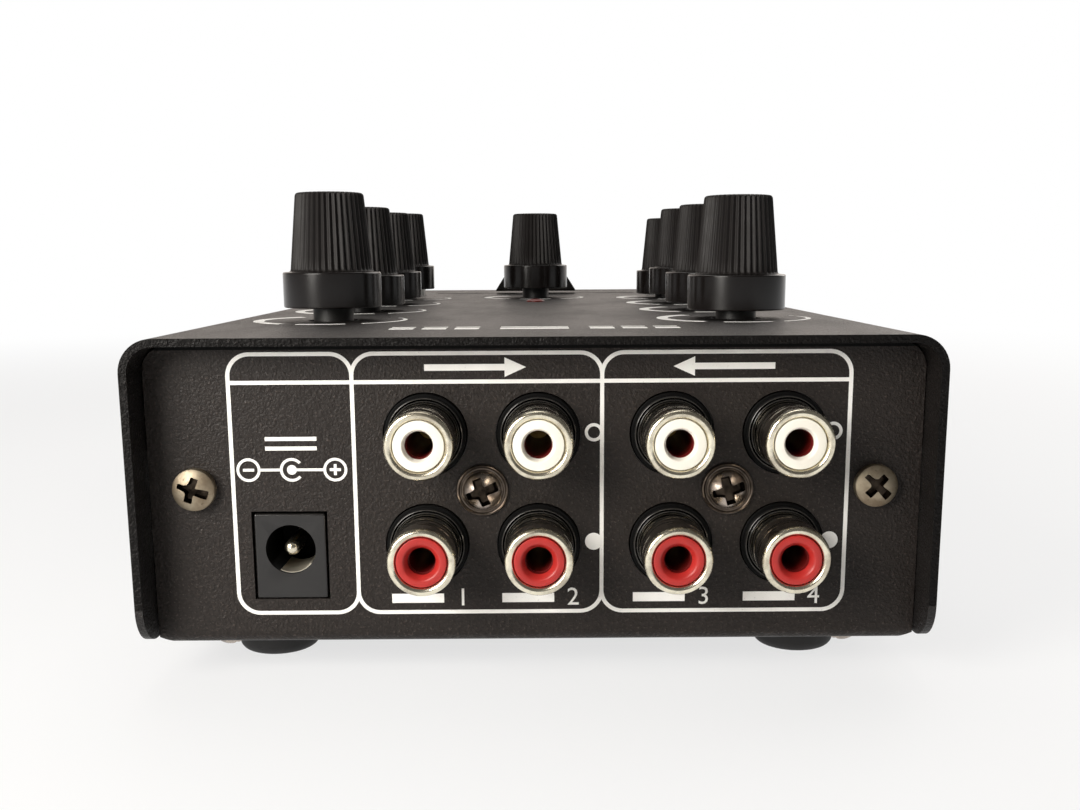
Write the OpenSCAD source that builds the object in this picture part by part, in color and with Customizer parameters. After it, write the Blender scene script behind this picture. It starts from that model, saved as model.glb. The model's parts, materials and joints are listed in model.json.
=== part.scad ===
// Compact two-channel DJ mixer: a folded steel case with phono sockets on the rear panel,
// nine rotary controls and a crossfader on top, and two 6.35 mm sockets at the front.
// The user's side faces -Y, the socket panel faces +Y, and the feet stand on Z = 0.

/* [Case] */
// Width over the top cover
case_w = 98.6; // [97:0.2:112]
// Length of the top cover, front to back
case_len = 195; // [192:1:225]
// Height from the underside of the chassis to the top of the cover
case_h = 39.3; // [39:0.1:46]
// Thickness of the steel sheet
sheet_t = 1.0; // [0.8:0.1:1.2]
// How far the cover reaches past each end panel
overhang = 5.0; // [4.8:0.1:7]
// Outer bend radius along the top edges of the cover
cover_bend_r = 4.2; // [2.5:0.1:6]
// Radius on the lower corners of the cover's sides
cover_corner_r = 5; // [2:0.5:8]
// Height of the cover's side edges above the underside of the chassis
cover_lift = 1.0; // [0.6:0.1:2.5]
// Gap between the cover and the chassis
case_gap = 0.15; // [0.1:0.05:0.3]
// Outer bend radius between the chassis floor and its end panels
chassis_bend_r = 1.6; // [1.3:0.1:2.5]
// Width of the chamfer along the lower edges of the chassis
edge_chamfer_w = 1.7; // [0.5:0.1:2]
// Height of the chamfer along the lower edges of the chassis
edge_chamfer_h = 0.9; // [0.3:0.1:1]
// Depth of the folded lips on top of the end panels
panel_lip = 7; // [4:0.5:9]
// Height of the folded lips along the sides of the chassis
side_lip = 8; // [4:0.5:10]

/* [Feet] */
// Height of the rubber feet
foot_h = 4.5; // [3.5:0.1:8]
// Diameter of the rubber feet
foot_d = 11.6; // [10:0.2:14]
// Rounding on the lower edge of the feet
foot_round = 1.4; // [0.8:0.1:1.8]
// Distance of the foot centres from the side of the cover
foot_side = 13.6; // [10:0.2:18]
// Distance of the foot centres from the end panels
foot_end = 13; // [12.5:0.5:17]

/* [Rear sockets] */
// How far the phono sockets stand out of the rear panel
phono_out = 9.1; // [8:0.1:11]
// Distance between the sockets of one block
phono_pitch = 14; // [13:0.1:15]
// Height of the middle of the blocks above the underside of the chassis
phono_centre_h = 19.9; // [19.5:0.1:21]
// Place of the output block, from the centreline
output_x = 6.6; // [4:0.2:9]
// Distance between the output and the input block
block_spacing = 30.6; // [29:0.2:33]
// Outer diameter of the nickel sleeves
sleeve_d = 8.3; // [8:0.1:8.6]
// Wall of the nickel sleeves
sleeve_wall = 1.05; // [0.6:0.05:1.3]
// Diameter of the hole for the plug's pin
phono_bore_d = 3.2; // [3:0.05:3.6]
// Diameter of the collar in the panel hole
collar_d = 10.2; // [9.6:0.1:10.8]
// Depth of the socket blocks behind the panel
block_depth = 12; // [10:0.5:16]
// Depth of the seat that holds a sleeve, behind the panel
sleeve_seat = 7; // [4:0.5:8]
// Place of the DC inlet, from the centreline
dc_x = 30.9; // [28:0.1:33]
// Width of the DC inlet
dc_w = 9.0; // [8:0.1:10]
// Height of the DC inlet
dc_h = 11.0; // [10:0.1:12]
// Depth of the DC inlet
dc_depth = 14; // [12:0.5:16]
// Diameter of the hole in the DC inlet
dc_bore_d = 6.3; // [5.5:0.1:6.5]
// Diameter of the pin in the DC inlet
dc_pin_d = 2.0; // [1.3:0.1:2.5]
// Height of the pin above the bottom of the DC inlet
dc_bore_h = 6.4; // [5.5:0.1:7]

/* [Controls] */
// Distance of the two knob columns from the centreline
column_x = 30.3; // [27:0.1:33]
// Distance of the first knob row from the rear panel
first_row = 33.5; // [31:0.5:36]
// Distance between the knob rows
row_pitch = 30; // [27:0.5:31]
// How far the master knob stands in front of the last row
master_step = 4; // [0:0.5:6]
// Diameter of the knob skirts
skirt_d = 14.8; // [13:0.1:16]
// Height of the knob skirts
skirt_h = 4.8; // [4:0.1:6]
// Bevel on the upper edge of the knob skirts
skirt_bevel = 0.7; // [0.3:0.1:1]
// Height of the knobs over all
knob_h = 16.7; // [14.5:0.1:20]
// Diameter of the fluted grip where it meets the skirt
grip_d = 12.0; // [11:0.1:12.6]
// Diameter of the fluted grip at the top
grip_top_d = 9.9; // [9:0.1:10.8]
// Number of flutes around the grip
flutes = 40; // [24:1:48]
// Depth of the flutes
flute_depth = 0.35; // [0.2:0.05:0.5]
// Gap between the cover and the knobs of channel 1
ch1_knob_gap = 1.3; // [0.8:0.1:3]
// Gap between the cover and the knobs of channel 2
ch2_knob_gap = 2.0; // [0.8:0.1:3]
// Gap between the cover and the master knob
master_knob_gap = 2.2; // [0.8:0.1:3]
// Diameter of the control shafts
shaft_d = 6.0; // [5:0.1:6.4]
// Diameter of the shaft holes in the cover
shaft_hole_d = 7.6; // [7.2:0.1:9]
// Running clearance around the shafts, on the radius
shaft_play = 0.05; // [0.02:0.01:0.1]
// Width of the potentiometer bodies
pot_w = 9.8; // [9:0.1:11]
// Length of the potentiometer bodies
pot_len = 11.4; // [10:0.1:13]
// Height of the potentiometer bodies
pot_h = 6.5; // [5.5:0.1:7]

/* [Crossfader] */
// Distance of the crossfader from the front panel
fader_front = 25; // [22:0.5:27]
// Travel of the crossfader
fader_travel = 45; // [30:1:46]
// Width of the crossfader cap
cap_w = 20.6; // [19:0.2:22]
// Depth of the crossfader cap, front to back
cap_depth = 12; // [9:0.5:13]
// Height of the crossfader cap
cap_h = 10.5; // [10:0.5:14]
// Gap between the cover and the crossfader cap
cap_gap = 0.7; // [0.4:0.1:1.5]
// Width of the steel tongue that carries the cap
tongue_w = 4; // [3:0.1:5]
// Thickness of the tongue
tongue_t = 1.2; // [1:0.1:1.6]

/* [Cue buttons and lamp] */
// Distance of the cue buttons behind the crossfader
cue_back = 14; // [12.5:0.5:15]
// Width of the cue buttons
cue_w = 5.6; // [5:0.1:7]
// How far the cue buttons stand out of the cover
cue_out = 3.0; // [2.2:0.1:4]
// Travel of the cue buttons
cue_travel = 1.5; // [1:0.1:1.8]
// Distance of the lamp behind the master knob
lamp_back = 26; // [20:0.5:29]
// Diameter of the lamp
lamp_d = 3.0; // [2.6:0.1:3.4]
// How far the lamp stands out of the cover
lamp_out = 1.4; // [1:0.1:2]

/* [Front sockets] */
// Distance of the front sockets from the centreline
jack_x = 26; // [20:0.5:28]
// Width of the front socket bodies
jack_w = 16; // [14:0.5:18]
// Height of the front socket bodies
jack_h = 17.5; // [15:0.5:18]
// Depth of the front socket bodies
jack_depth = 26; // [22:0.5:28]
// Diameter of the hole for the plug
jack_bore_d = 6.45; // [6.4:0.05:6.6]
// Diameter of the threaded bush
jack_bush_d = 9; // [8.6:0.1:10]
// How far the bush stands out of the front panel
jack_out = 4.2; // [3:0.1:4.6]

/* [Screws and boards] */
// Diameter of the panel and side screw heads
head_d = 5.3; // [5:0.1:6]
// Height of the panel and side screw heads
head_h = 1.9; // [1.2:0.1:2.2]
// Diameter of the screw threads
thread_d = 2.9; // [2.5:0.1:3]
// Clearance around the screw threads, on the radius
thread_play = 0.1; // [0.05:0.05:0.25]
// Distance of the panel screws from the side of the cover
panel_screw_side = 6.9; // [6.5:0.1:8]
// Height of the panel screws above the underside of the chassis
panel_screw_h = 20.3; // [19.5:0.1:22]
// Distance of the side screws from the end panels
side_screw_end = 5.5; // [4.5:0.5:7]
// Height of the side screws above the underside of the chassis
side_screw_h = 17; // [14:0.1:19]
// Diameter of the washer under a block screw's head
block_washer_d = 6.5; // [6:0.1:7.5]
// Diameter of a block screw's head
block_head_d = 4.8; // [4.4:0.1:5.5]
// Thickness of the circuit boards
board_t = 1.6; // [1:0.1:1.7]
// Height of the rear board's top above the underside of the chassis
rear_board_h = 6; // [5.9:0.1:6.6]
// Length of the rear board
rear_board_len = 44; // [42:1:50]
// Distance from the inside of the cover down to the control board
board_drop = 8.2; // [8:0.1:8.6]

/* [Hidden] */
$fn = 48;
eps = 0.01;                 // overshoot of a cut
seat_gap = 0.05;            // clearance of a turned piece in its seat, on the radius
edge_gap = 0.3;             // gap beside boards and other parts that only lie near a wall

CONTROLS = [
    "ch1_gain", "ch1_treble", "ch1_bass", "ch1_level",
    "ch2_gain", "ch2_treble", "ch2_bass", "ch2_level", "master"
];
STATIC_NODES = [
    "chassis", "top_cover", "corner_brackets", "panel_screws", "side_screws", "rubber_feet",
    "foot_screws", "foot_nuts", "output_socket_block", "input_socket_block", "block_screws",
    "socket_sleeves", "white_insulators", "red_insulators", "socket_liners",
    "socket_contacts", "dc_inlet_housing", "dc_inlet_pin", "dc_inlet_spring", "rear_board",
    "control_board", "board_spacers", "board_screws", "underside_screws", "capacitors", "amplifier_chips",
    "voltage_regulator", "ribbon_cable", "ribbon_headers", "headphone_socket", "microphone_socket", "front_socket_nuts",
    "front_socket_contacts", "potentiometers", "crossfader_frame", "crossfader_screws", "power_lamp",
    "cue_switches"
];

// Levels, from the feet upward
z_base = foot_h;                            // underside of the chassis
z_floor = z_base + sheet_t;
z_top = z_base + case_h;                    // top of the cover
z_under = z_top - sheet_t;                  // inside of the cover
z_phono = z_base + phono_centre_h;
z_rear_board = z_base + rear_board_h;       // top of the rear board
z_control = z_under - board_drop;           // top of the control board
z_control_low = z_control - board_t;
z_dc = z_rear_board + dc_bore_h;
z_jack = z_control_low - jack_h / 2;
z_panel_screw = z_base + panel_screw_h;
z_side_screw = z_base + side_screw_h;

// Places along the case. The sockets and the front edge of the cover are the ends of the part.
case_half = case_w / 2;
inner_half = case_half - sheet_t;
panel_half = inner_half - case_gap;
panel_h = case_h - sheet_t - case_gap;
panel_len = case_len - 2 * overhang;
y_rear = (case_len - overhang + phono_out) / 2 - phono_out;
y_front = y_rear - panel_len;
y_cover_rear = y_rear + overhang;
y_fader = y_front + fader_front;
y_cue = y_fader + cue_back;
y_last_row = y_rear - first_row - 3 * row_pitch;
y_master = y_last_row - master_step;
y_lamp = y_master + lamp_back;

input_x = output_x - block_spacing;
block_x = [output_x, input_x];
block_side = 6.5;                           // from the outer socket centres to the edges of a block
block_w = phono_pitch + 2 * block_side;
block_low = phono_centre_h - rear_board_h;    // from the middle of a block down to the rear board
foot_x = case_half - foot_side;
foot_y = [y_rear - foot_end, y_front + foot_end];
panel_screw_x = case_half - panel_screw_side;
hole_r = thread_d / 2 + thread_play;
sleeve_r = sleeve_d / 2;
insulator_r = sleeve_r - sleeve_wall - seat_gap;
liner_r = (insulator_r + phono_bore_d / 2) / 2;
bracket_t = 1.5;
bracket_h = 14;
bracket_gap = 0.8;                          // between the rear brackets and the input block
bracket_len = inner_half + input_x - block_w / 2 - bracket_gap;
bracket_low = 11;                           // from the underside of the chassis
z_bracket = z_base + bracket_low;
cue_x = [-column_x, column_x];
cue_play = 0.35;                            // between a cue button and the edges of its hole

function control_x(k) = k == 8 ? 0 : k < 4 ? -column_x : column_x;
function control_y(k) = k == 8 ? y_master : y_rear - first_row - (k % 4) * row_pitch;
function knob_gap(k) = k == 8 ? master_knob_gap : k < 4 ? ch1_knob_gap : ch2_knob_gap;

module place_control(k) { translate([control_x(k), control_y(k), 0]) children(); }
module to_rear() { rotate([-90, 0, 0]) children(); }         // +Z becomes +Y
module to_front() { rotate([90, 0, 0]) children(); }         // +Z becomes -Y
module to_side(s) { rotate([0, s * 90, 0]) children(); }     // +Z becomes +X or -X

// An upright rectangle with its two upper corners rounded, standing on the X axis
module arch(w, h, r) {
    translate([-w / 2, 0]) square([w, h - r]);
    translate([r - w / 2, 0]) square([w - 2 * r, h]);
    for (s = [-1, 1]) translate([s * (w / 2 - r), h - r]) circle(r);
}

// A block centred in X and Y that stands on Z = 0
module block(w, d, h) {
    translate([-w / 2, -d / 2, 0]) cube([w, d, h]);
}

module ring(r_out, r_in, h) {
    difference() {
        cylinder(r = r_out, h = h);
        translate([0, 0, -eps]) cylinder(r = r_in, h = h + 2 * eps);
    }
}

// A cross-head screw along Z: its head rises from 0 and its thread goes down
module cross_screw(d, h, thread_len) {
    dome_r = (pow(d / 2, 2) + h * h) / (2 * h);
    recess_w = d * 0.16;
    recess_len = d * 0.62;
    difference() {
        intersection() {
            cylinder(d = d, h = h);
            translate([0, 0, h - dome_r]) sphere(dome_r);
        }
        for (a = [45, 135]) translate([0, 0, h * 0.35]) rotate(a) block(recess_len, recess_w, h);
    }
    translate([0, 0, -thread_len]) cylinder(d = thread_d, h = thread_len + h * 0.2);
}

// ---- Case ----

module sheet_cover_profile() {
    difference() {
        arch(case_w, case_h - cover_lift, cover_bend_r);
        translate([0, -eps]) arch(2 * inner_half, case_h - cover_lift - sheet_t + eps, cover_bend_r - sheet_t);
    }
}

module cover_side_profile() {
    h = case_h - cover_lift;
    translate([y_cover_rear - case_len / 2, h]) mirror([0, 1]) arch(case_len, h, cover_corner_r);
}

module top_cover() {
    color([0.16, 0.155, 0.15]) difference() {
        translate([0, 0, z_base + cover_lift]) intersection() {
            translate([0, y_cover_rear, 0]) rotate([90, 0, 0]) linear_extrude(case_len) sheet_cover_profile();
            translate([-case_half, 0, 0]) rotate([90, 0, 90]) linear_extrude(case_w) cover_side_profile();
        }
        for (k = [0:8]) place_control(k) translate([0, 0, z_under - 1]) cylinder(d = shaft_hole_d, h = sheet_t + 2);
        translate([0, y_fader, z_under - 1]) block(slot_len, slot_w, sheet_t + 2);
        for (s = [-1, 1]) translate([s * fader_screw_x, y_fader, z_under - 1]) cylinder(r = hole_r, h = sheet_t + 2);
        for (x = cue_x) translate([x, y_cue, z_under - 1])
            block(cue_w + 2 * cue_play, cue_w + 2 * cue_play, sheet_t + 2);
        translate([0, y_lamp, z_under - 1]) cylinder(r = lamp_d / 2 + seat_gap, h = sheet_t + 2);
        for (s = [-1, 1], y = side_screw_y())
            translate([s * (inner_half - 1), y, z_side_screw]) to_side(s) cylinder(r = hole_r, h = sheet_t + 2);
    }
}

function side_screw_y() = [y_rear - side_screw_end, y_front + side_screw_end];

// The floor and both end panels, seen from the side
module chassis_profile() {
    translate([y_rear - panel_len / 2, panel_h]) mirror([0, 1]) difference() {
        arch(panel_len, panel_h, chassis_bend_r);
        translate([0, -eps])
            arch(panel_len - 2 * sheet_t, panel_h - sheet_t + eps, chassis_bend_r - sheet_t);
    }
}

// The end panels seen from the rear: their upper corners clear the bends of the cover
module panel_outline() {
    difference() {
        arch(2 * panel_half, panel_h, cover_bend_r - sheet_t);
        for (s = [-1, 1]) scale([s, 1]) polygon([
            [panel_half - edge_chamfer_w, -1], [panel_half - edge_chamfer_w, 0],
            [panel_half, edge_chamfer_h], [panel_half + 1, edge_chamfer_h], [panel_half + 1, -1]]);
    }
}

module chassis_folds() {
    translate([-panel_half, 0, z_base])
        rotate([90, 0, 90]) linear_extrude(2 * panel_half) chassis_profile();
    for (y = [y_rear - panel_lip, y_front])
        translate([-panel_half + panel_lip, y, z_base + panel_h - sheet_t])
            cube([2 * (panel_half - panel_lip), panel_lip, sheet_t]);
    for (s = [-1, 1]) translate([s * (panel_half - sheet_t / 2), (y_rear + y_front) / 2, z_base])
        block(sheet_t, panel_len - 4 * chassis_bend_r, side_lip);
}

module chassis() {
    color([0.13, 0.125, 0.125]) difference() {
        intersection() {
            translate([0, y_rear + 1, z_base])
                rotate([90, 0, 0]) linear_extrude(panel_len + 2) panel_outline();
            chassis_folds();
        }
        panel_openings();
        for (x = [-foot_x, foot_x], y = foot_y) translate([x, y, z_base - 1]) cylinder(r = hole_r, h = sheet_t + 2);
        for (p = concat(rear_spacer_places(), control_spacer_places()))
            translate([p[0], p[1], z_base - 1]) cylinder(r = hole_r, h = sheet_t + 2);
    }
}

module panel_openings() {
    cut = sheet_t + 2;
    for (x = block_x, i = [-1, 1], j = [-1, 1])
        translate([x + i * phono_pitch / 2, y_rear - sheet_t - 1, z_phono + j * phono_pitch / 2])
            to_rear() cylinder(d = collar_d + 0.4, h = cut);
    for (x = block_x) translate([x, y_rear - sheet_t - 1, z_phono]) to_rear() cylinder(r = hole_r, h = cut);
    translate([dc_x, y_rear - sheet_t / 2, z_rear_board - 0.1])
        block(dc_w + 0.5, cut, dc_h + 0.4);
    for (s = [-1, 1]) {
        translate([s * panel_screw_x, y_rear - sheet_t - 1, z_panel_screw]) to_rear() cylinder(r = hole_r, h = cut);
        translate([s * panel_screw_x, y_front - 1, z_panel_screw]) to_rear() cylinder(r = hole_r, h = cut);
        translate([s * jack_x, y_front - 1, z_jack]) to_rear() cylinder(r = jack_bush_d / 2 + 0.2, h = cut);
    }
}

// One angle: a leg on the end panel and a leg on the cover's side. It is drawn for +X and the rear.
module corner_bracket() {
    difference() {
        union() {
            translate([inner_half - bracket_len, -sheet_t - bracket_t, 0]) cube([bracket_len, bracket_t, bracket_h]);
            translate([inner_half - bracket_t, -sheet_t - bracket_len, 0]) cube([bracket_t, bracket_len, bracket_h]);
        }
        translate([panel_screw_x, -sheet_t - bracket_t - 1, z_panel_screw - z_bracket])
            to_rear() cylinder(d = thread_d + 2 * seat_gap, h = bracket_t + 2);
        translate([inner_half - bracket_t - 1, -side_screw_end, z_side_screw - z_bracket])
            to_side(1) cylinder(d = thread_d + 2 * seat_gap, h = bracket_t + 2);
    }
}

module corner_brackets() {
    color([0.62, 0.62, 0.6]) for (s = [0, 1]) mirror([s, 0, 0]) {
        translate([0, y_rear, z_bracket]) corner_bracket();
        translate([0, y_front, z_bracket]) mirror([0, 1, 0]) corner_bracket();
    }
}

module panel_screws() {
    color([0.72, 0.66, 0.56]) for (s = [-1, 1]) {
        translate([s * panel_screw_x, y_rear, z_panel_screw]) to_rear() cross_screw(head_d, head_h, 5);
        translate([s * panel_screw_x, y_front, z_panel_screw]) to_front() cross_screw(head_d, head_h, 5);
    }
}

module side_screws() {
    color([0.72, 0.66, 0.56]) for (s = [-1, 1], y = side_screw_y())
        translate([s * case_half, y, z_side_screw]) to_side(s) cross_screw(head_d, head_h, 4);
}

// ---- Feet ----

// Half section of a foot: a flat tread, a round edge and a slight taper up to the chassis
module foot_section() {
    r = foot_d / 2;
    difference() {
        union() {
            translate([0, foot_round]) square([r - 0.3, foot_h - foot_round]);
            square([r - 0.3 - foot_round, foot_h]);
            translate([r - 0.3 - foot_round, foot_round]) circle(foot_round);
            polygon([[r - 0.4, foot_round], [r - 0.3, foot_round], [r, foot_h], [r - 0.4, foot_h]]);
        }
        translate([-5, -1]) square([5, foot_h + 2]);
    }
}

module rubber_feet() {
    color([0.05, 0.05, 0.05]) for (x = [-foot_x, foot_x], y = foot_y) translate([x, y, 0]) difference() {
        rotate_extrude() foot_section();
        translate([0, 0, -1]) cylinder(r = hole_r, h = foot_h + 2);
        translate([0, 0, -1]) cylinder(d = 5.8, h = foot_screw_seat() + 1);
    }
}

function foot_screw_seat() = foot_h / 2;

module foot_screws() {
    color([0.7, 0.7, 0.68]) for (x = [-foot_x, foot_x], y = foot_y)
        translate([x, y, foot_screw_seat()]) rotate([180, 0, 0])
            cross_screw(5.4, 1.6, foot_h - foot_screw_seat() + sheet_t + 2.6);
}

module foot_nuts() {
    color([0.7, 0.7, 0.68]) for (x = [-foot_x, foot_x], y = foot_y) translate([x, y, z_floor]) difference() {
        cylinder(d = 6, h = 2.2, $fn = 6);
        translate([0, 0, -1]) cylinder(d = thread_d + 2 * seat_gap, h = 5);
    }
}

// ---- Rear sockets ----

module socket_places(x) {
    for (i = [-1, 1], j = [-1, 1]) translate([x + i * phono_pitch / 2, y_rear, z_phono + j * phono_pitch / 2]) children();
}

// A moulded block behind the panel, with a stepped collar around each sleeve
module socket_block(x) {
    color([0.09, 0.09, 0.09]) difference() {
        union() {
            translate([x, y_rear - sheet_t - block_depth / 2, z_phono - block_low])
                block(block_w, block_depth, block_low + phono_pitch / 2 + block_side);
            socket_places(x) to_rear() {
                translate([0, 0, -sheet_t - 0.5]) cylinder(d = collar_d, h = sheet_t + 0.7);
                cylinder(d = collar_d - 0.9, h = 0.7);
            }
        }
        socket_places(x) {
            translate([0, -sleeve_seat, 0]) to_rear() cylinder(r = sleeve_r + seat_gap, h = sleeve_seat + 5);
            translate([0, -block_depth - 3, 0]) to_rear() cylinder(r = contact_r() + seat_gap, h = block_depth);
        }
        translate([x, y_rear - sheet_t - 7, z_phono]) to_rear() cylinder(d = thread_d + 2 * seat_gap, h = 12);
    }
}

function contact_r() = phono_bore_d / 2 + 0.4;

// The sleeve's front edge is rounded, so it is turned from a half section
module sleeve() {
    front = phono_out;
    round_r = sleeve_wall * 0.45;
    translate([0, -sleeve_seat, 0]) to_rear() rotate_extrude() translate([sleeve_r - sleeve_wall, 0]) {
        square([sleeve_wall, sleeve_seat + front - round_r]);
        translate([round_r, 0]) square([sleeve_wall - 2 * round_r, sleeve_seat + front]);
        for (c = [round_r, sleeve_wall - round_r]) translate([c, sleeve_seat + front - round_r]) circle(round_r, $fn = 24);
    }
}

module socket_sleeves() { color([0.78, 0.77, 0.72]) for (x = block_x) socket_places(x) sleeve(); }

// The insulator fills the sleeve and ends in a dished face around the plug's hole
module insulators(row, shade) {
    reach = sleeve_seat + phono_out - 0.25;
    color(shade) for (x = block_x, i = [-1, 1])
        translate([x + i * phono_pitch / 2, y_rear - sleeve_seat, z_phono + row * phono_pitch / 2]) to_rear() difference() {
            cylinder(r = insulator_r, h = reach);
            translate([0, 0, -1]) cylinder(r = phono_bore_d / 2, h = reach + 2);
            translate([0, 0, -1]) cylinder(r = liner_r + seat_gap, h = reach - 1.6 + 1);
            translate([0, 0, reach - 0.6])
                cylinder(r1 = phono_bore_d / 2, r2 = phono_bore_d / 2 + 0.62, h = 0.62);
        }
}

module socket_liners() {
    reach = sleeve_seat + phono_out - 0.25 - 1.6;
    color([0.25, 0.03, 0.03]) for (x = block_x) socket_places(x) translate([0, -sleeve_seat, 0]) to_rear()
        ring(liner_r, phono_bore_d / 2, reach);
}

// Each contact is a brass tube with a leg that goes down to the rear board
module socket_contacts() {
    color([0.8, 0.66, 0.35]) for (x = block_x, i = [-1, 1], j = [-1, 1]) {
        back = sheet_t + block_depth + (j > 0 ? 1.4 : 0.5);
        z = z_phono + j * phono_pitch / 2;
        leg_x = x + i * phono_pitch / 2 + j * 0.9;
        translate([x + i * phono_pitch / 2, y_rear - back, z]) to_rear() difference() {
            cylinder(r = contact_r(), h = back - sleeve_seat);
            translate([0, 0, 1]) cylinder(r = phono_bore_d / 2, h = back);
        }
        translate([leg_x, y_rear - back + 0.25, z_rear_board]) block(0.8, 0.5, z - z_rear_board);
    }
}

module block_screws() {
    color([0.55, 0.52, 0.48]) for (x = block_x) translate([x, y_rear, z_phono]) to_rear() {
        cylinder(d = block_washer_d, h = 0.5);
        translate([0, 0, 0.5]) cross_screw(block_head_d, 1.5, sheet_t + 6);
    }
}

module dc_inlet_housing() {
    color([0.07, 0.07, 0.07]) translate([dc_x, y_rear, z_rear_board]) difference() {
        translate([0, -dc_depth / 2, 0]) block(dc_w, dc_depth, dc_h);
        translate([0, -dc_depth + 4, dc_bore_h]) to_rear() cylinder(d = dc_bore_d, h = dc_depth);
        translate([0, -dc_depth - 1, dc_bore_h]) to_rear() cylinder(r = dc_pin_d / 2 + seat_gap, h = dc_depth);
        translate([0, -dc_depth / 2 + 1, dc_bore_h + dc_bore_d / 2 - 0.6]) block(2.6, dc_depth - 4, 1.1);
    }
}

module dc_inlet_pin() {
    color([0.8, 0.78, 0.72]) translate([dc_x, y_rear - dc_depth - 0.6, z_dc]) {
        to_rear() cylinder(d = dc_pin_d, h = dc_depth - 0.6);
        to_rear() translate([0, 0, dc_depth - 0.6]) intersection() {
            sphere(d = dc_pin_d);
            cylinder(d = dc_pin_d, h = dc_pin_d);
        }
        translate([0, 0.3, z_rear_board - z_dc]) block(1.6, 0.6, dc_bore_h);
    }
}

// The leaf lies in a pocket over the bore and presses on the plug's barrel
module dc_inlet_spring() {
    color([0.8, 0.68, 0.4]) translate([dc_x, y_rear - dc_depth / 2 + 0.9, z_dc + dc_bore_d / 2 + 0.1])
        block(2.2, dc_depth - 4.4, 0.4);
}

// ---- Boards and electronics ----

board_side_gap = 5;         // between the boards and the sides of the cover
board_half = inner_half - board_side_gap;
rear_board_back = sheet_t + edge_gap;
spacer_side = 3;            // from the spacers to the side edges of the boards
rear_spacer_end = 4;        // from the spacers to the ends of the rear board
control_spacer_back = 55;   // from the rear panel
control_spacer_front = 42;  // from the front panel
spacer_d = 5.5;
board_head_d = 5;
board_head_h = 1.6;
spacer_grip = 6;            // how far a screw reaches into a long spacer

function rear_spacer_places() = [
    for (x = [-1, 1], d = [rear_spacer_end, rear_board_len - rear_spacer_end])
        [x * (board_half - spacer_side), y_rear - rear_board_back - d]
];
function control_spacer_places() = [
    for (x = [-1, 1], y = [y_rear - control_spacer_back, y_front + control_spacer_front])
        [x * (board_half - spacer_side), y]
];

module drilled_board(y0, len, top, holes) {
    difference() {
        translate([0, y0 - len / 2, top - board_t]) block(2 * board_half, len, board_t);
        for (p = holes) translate([p[0], p[1], top - board_t - 1]) cylinder(r = hole_r, h = board_t + 2);
    }
}

module rear_board() {
    color([0.1, 0.35, 0.2])
        drilled_board(y_rear - rear_board_back, rear_board_len, z_rear_board, rear_spacer_places());
}

control_board_gap = 4;      // between the socket blocks and the control board
control_board_back = sheet_t + block_depth + control_board_gap;

module control_board() {
    color([0.1, 0.35, 0.2]) drilled_board(
        y_rear - control_board_back, panel_len - control_board_back - sheet_t - edge_gap,
        z_control, control_spacer_places());
}

module spacer(h) {
    difference() {
        cylinder(d = spacer_d, h = h, $fn = 6);
        translate([0, 0, -1]) cylinder(d = thread_d + 2 * seat_gap, h = h + 2);
    }
}

module board_spacers() {
    color([0.78, 0.66, 0.36]) {
        for (p = rear_spacer_places()) translate([p[0], p[1], z_floor]) spacer(z_rear_board - board_t - z_floor);
        for (p = control_spacer_places()) translate([p[0], p[1], z_floor]) spacer(z_control_low - z_floor);
    }
}

rear_spacer_half = (rear_board_h - board_t - sheet_t) / 2 - 0.05;

module board_screws() {
    color([0.75, 0.75, 0.73]) {
        for (p = rear_spacer_places()) translate([p[0], p[1], z_rear_board])
            cross_screw(board_head_d, board_head_h, board_t + rear_spacer_half);
        for (p = control_spacer_places()) translate([p[0], p[1], z_control])
            cross_screw(board_head_d, board_head_h, board_t + spacer_grip);
    }
}

module underside_screws() {
    color([0.75, 0.75, 0.73]) {
        for (p = rear_spacer_places()) translate([p[0], p[1], z_base]) rotate([180, 0, 0])
            cross_screw(board_head_d, board_head_h, sheet_t + rear_spacer_half);
        for (p = control_spacer_places()) translate([p[0], p[1], z_base]) rotate([180, 0, 0])
            cross_screw(board_head_d, board_head_h, sheet_t + spacer_grip);
    }
}

capacitor_d = 8;
capacitor_h = 11.5;
capacitor_x = [-26, -14, 20, 32];
capacitor_back = 32;        // from the rear panel

module capacitors() {
    color([0.12, 0.13, 0.2]) for (x = capacitor_x) translate([x, y_rear - capacitor_back, z_rear_board]) {
        cylinder(d = capacitor_d, h = capacitor_h);
        translate([0, 0, capacitor_h]) cylinder(d = capacitor_d - 1, h = 0.4);
    }
}

pin_pitch = 2.54;
pin_w = 0.8;
pin_t = 0.6;
chip_x = 12;                // from the centreline, and in front of or behind the lamp
chip_w = 6.4;
chip_len = 9.6;
chip_h = 3;

module amplifier_chips() {
    color([0.08, 0.08, 0.09]) for (x = [-chip_x, chip_x], y = [-chip_x, chip_x])
        translate([x, y_lamp + y, z_control]) {
            translate([0, 0, pin_t]) block(chip_w, chip_len, chip_h);
            for (s = [-1, 1], t = [-1.5:1:1.5]) translate([s * (chip_w / 2 + 0.3), t * pin_pitch, 0])
                block(pin_w, pin_t, 2.2);
        }
}

regulator_x = 5;
regulator_back = 30;        // from the rear panel
regulator_w = 10;
regulator_d = 4.5;
regulator_h = 9;
regulator_leg = 3;
tab_h = 15;
tab_t = 1.3;

module voltage_regulator() {
    color([0.1, 0.1, 0.1]) translate([regulator_x, y_rear - regulator_back, z_rear_board]) {
        for (t = [-1:1]) translate([t * pin_pitch, 0, 0]) block(pin_w, pin_t, regulator_leg);
        translate([0, 0, regulator_leg]) block(regulator_w, regulator_d, regulator_h);
    }
    color([0.7, 0.7, 0.7])
        translate([regulator_x, y_rear - regulator_back + (regulator_d + tab_t) / 2, z_rear_board + regulator_leg])
            block(regulator_w, tab_t, tab_h);
}

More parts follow.
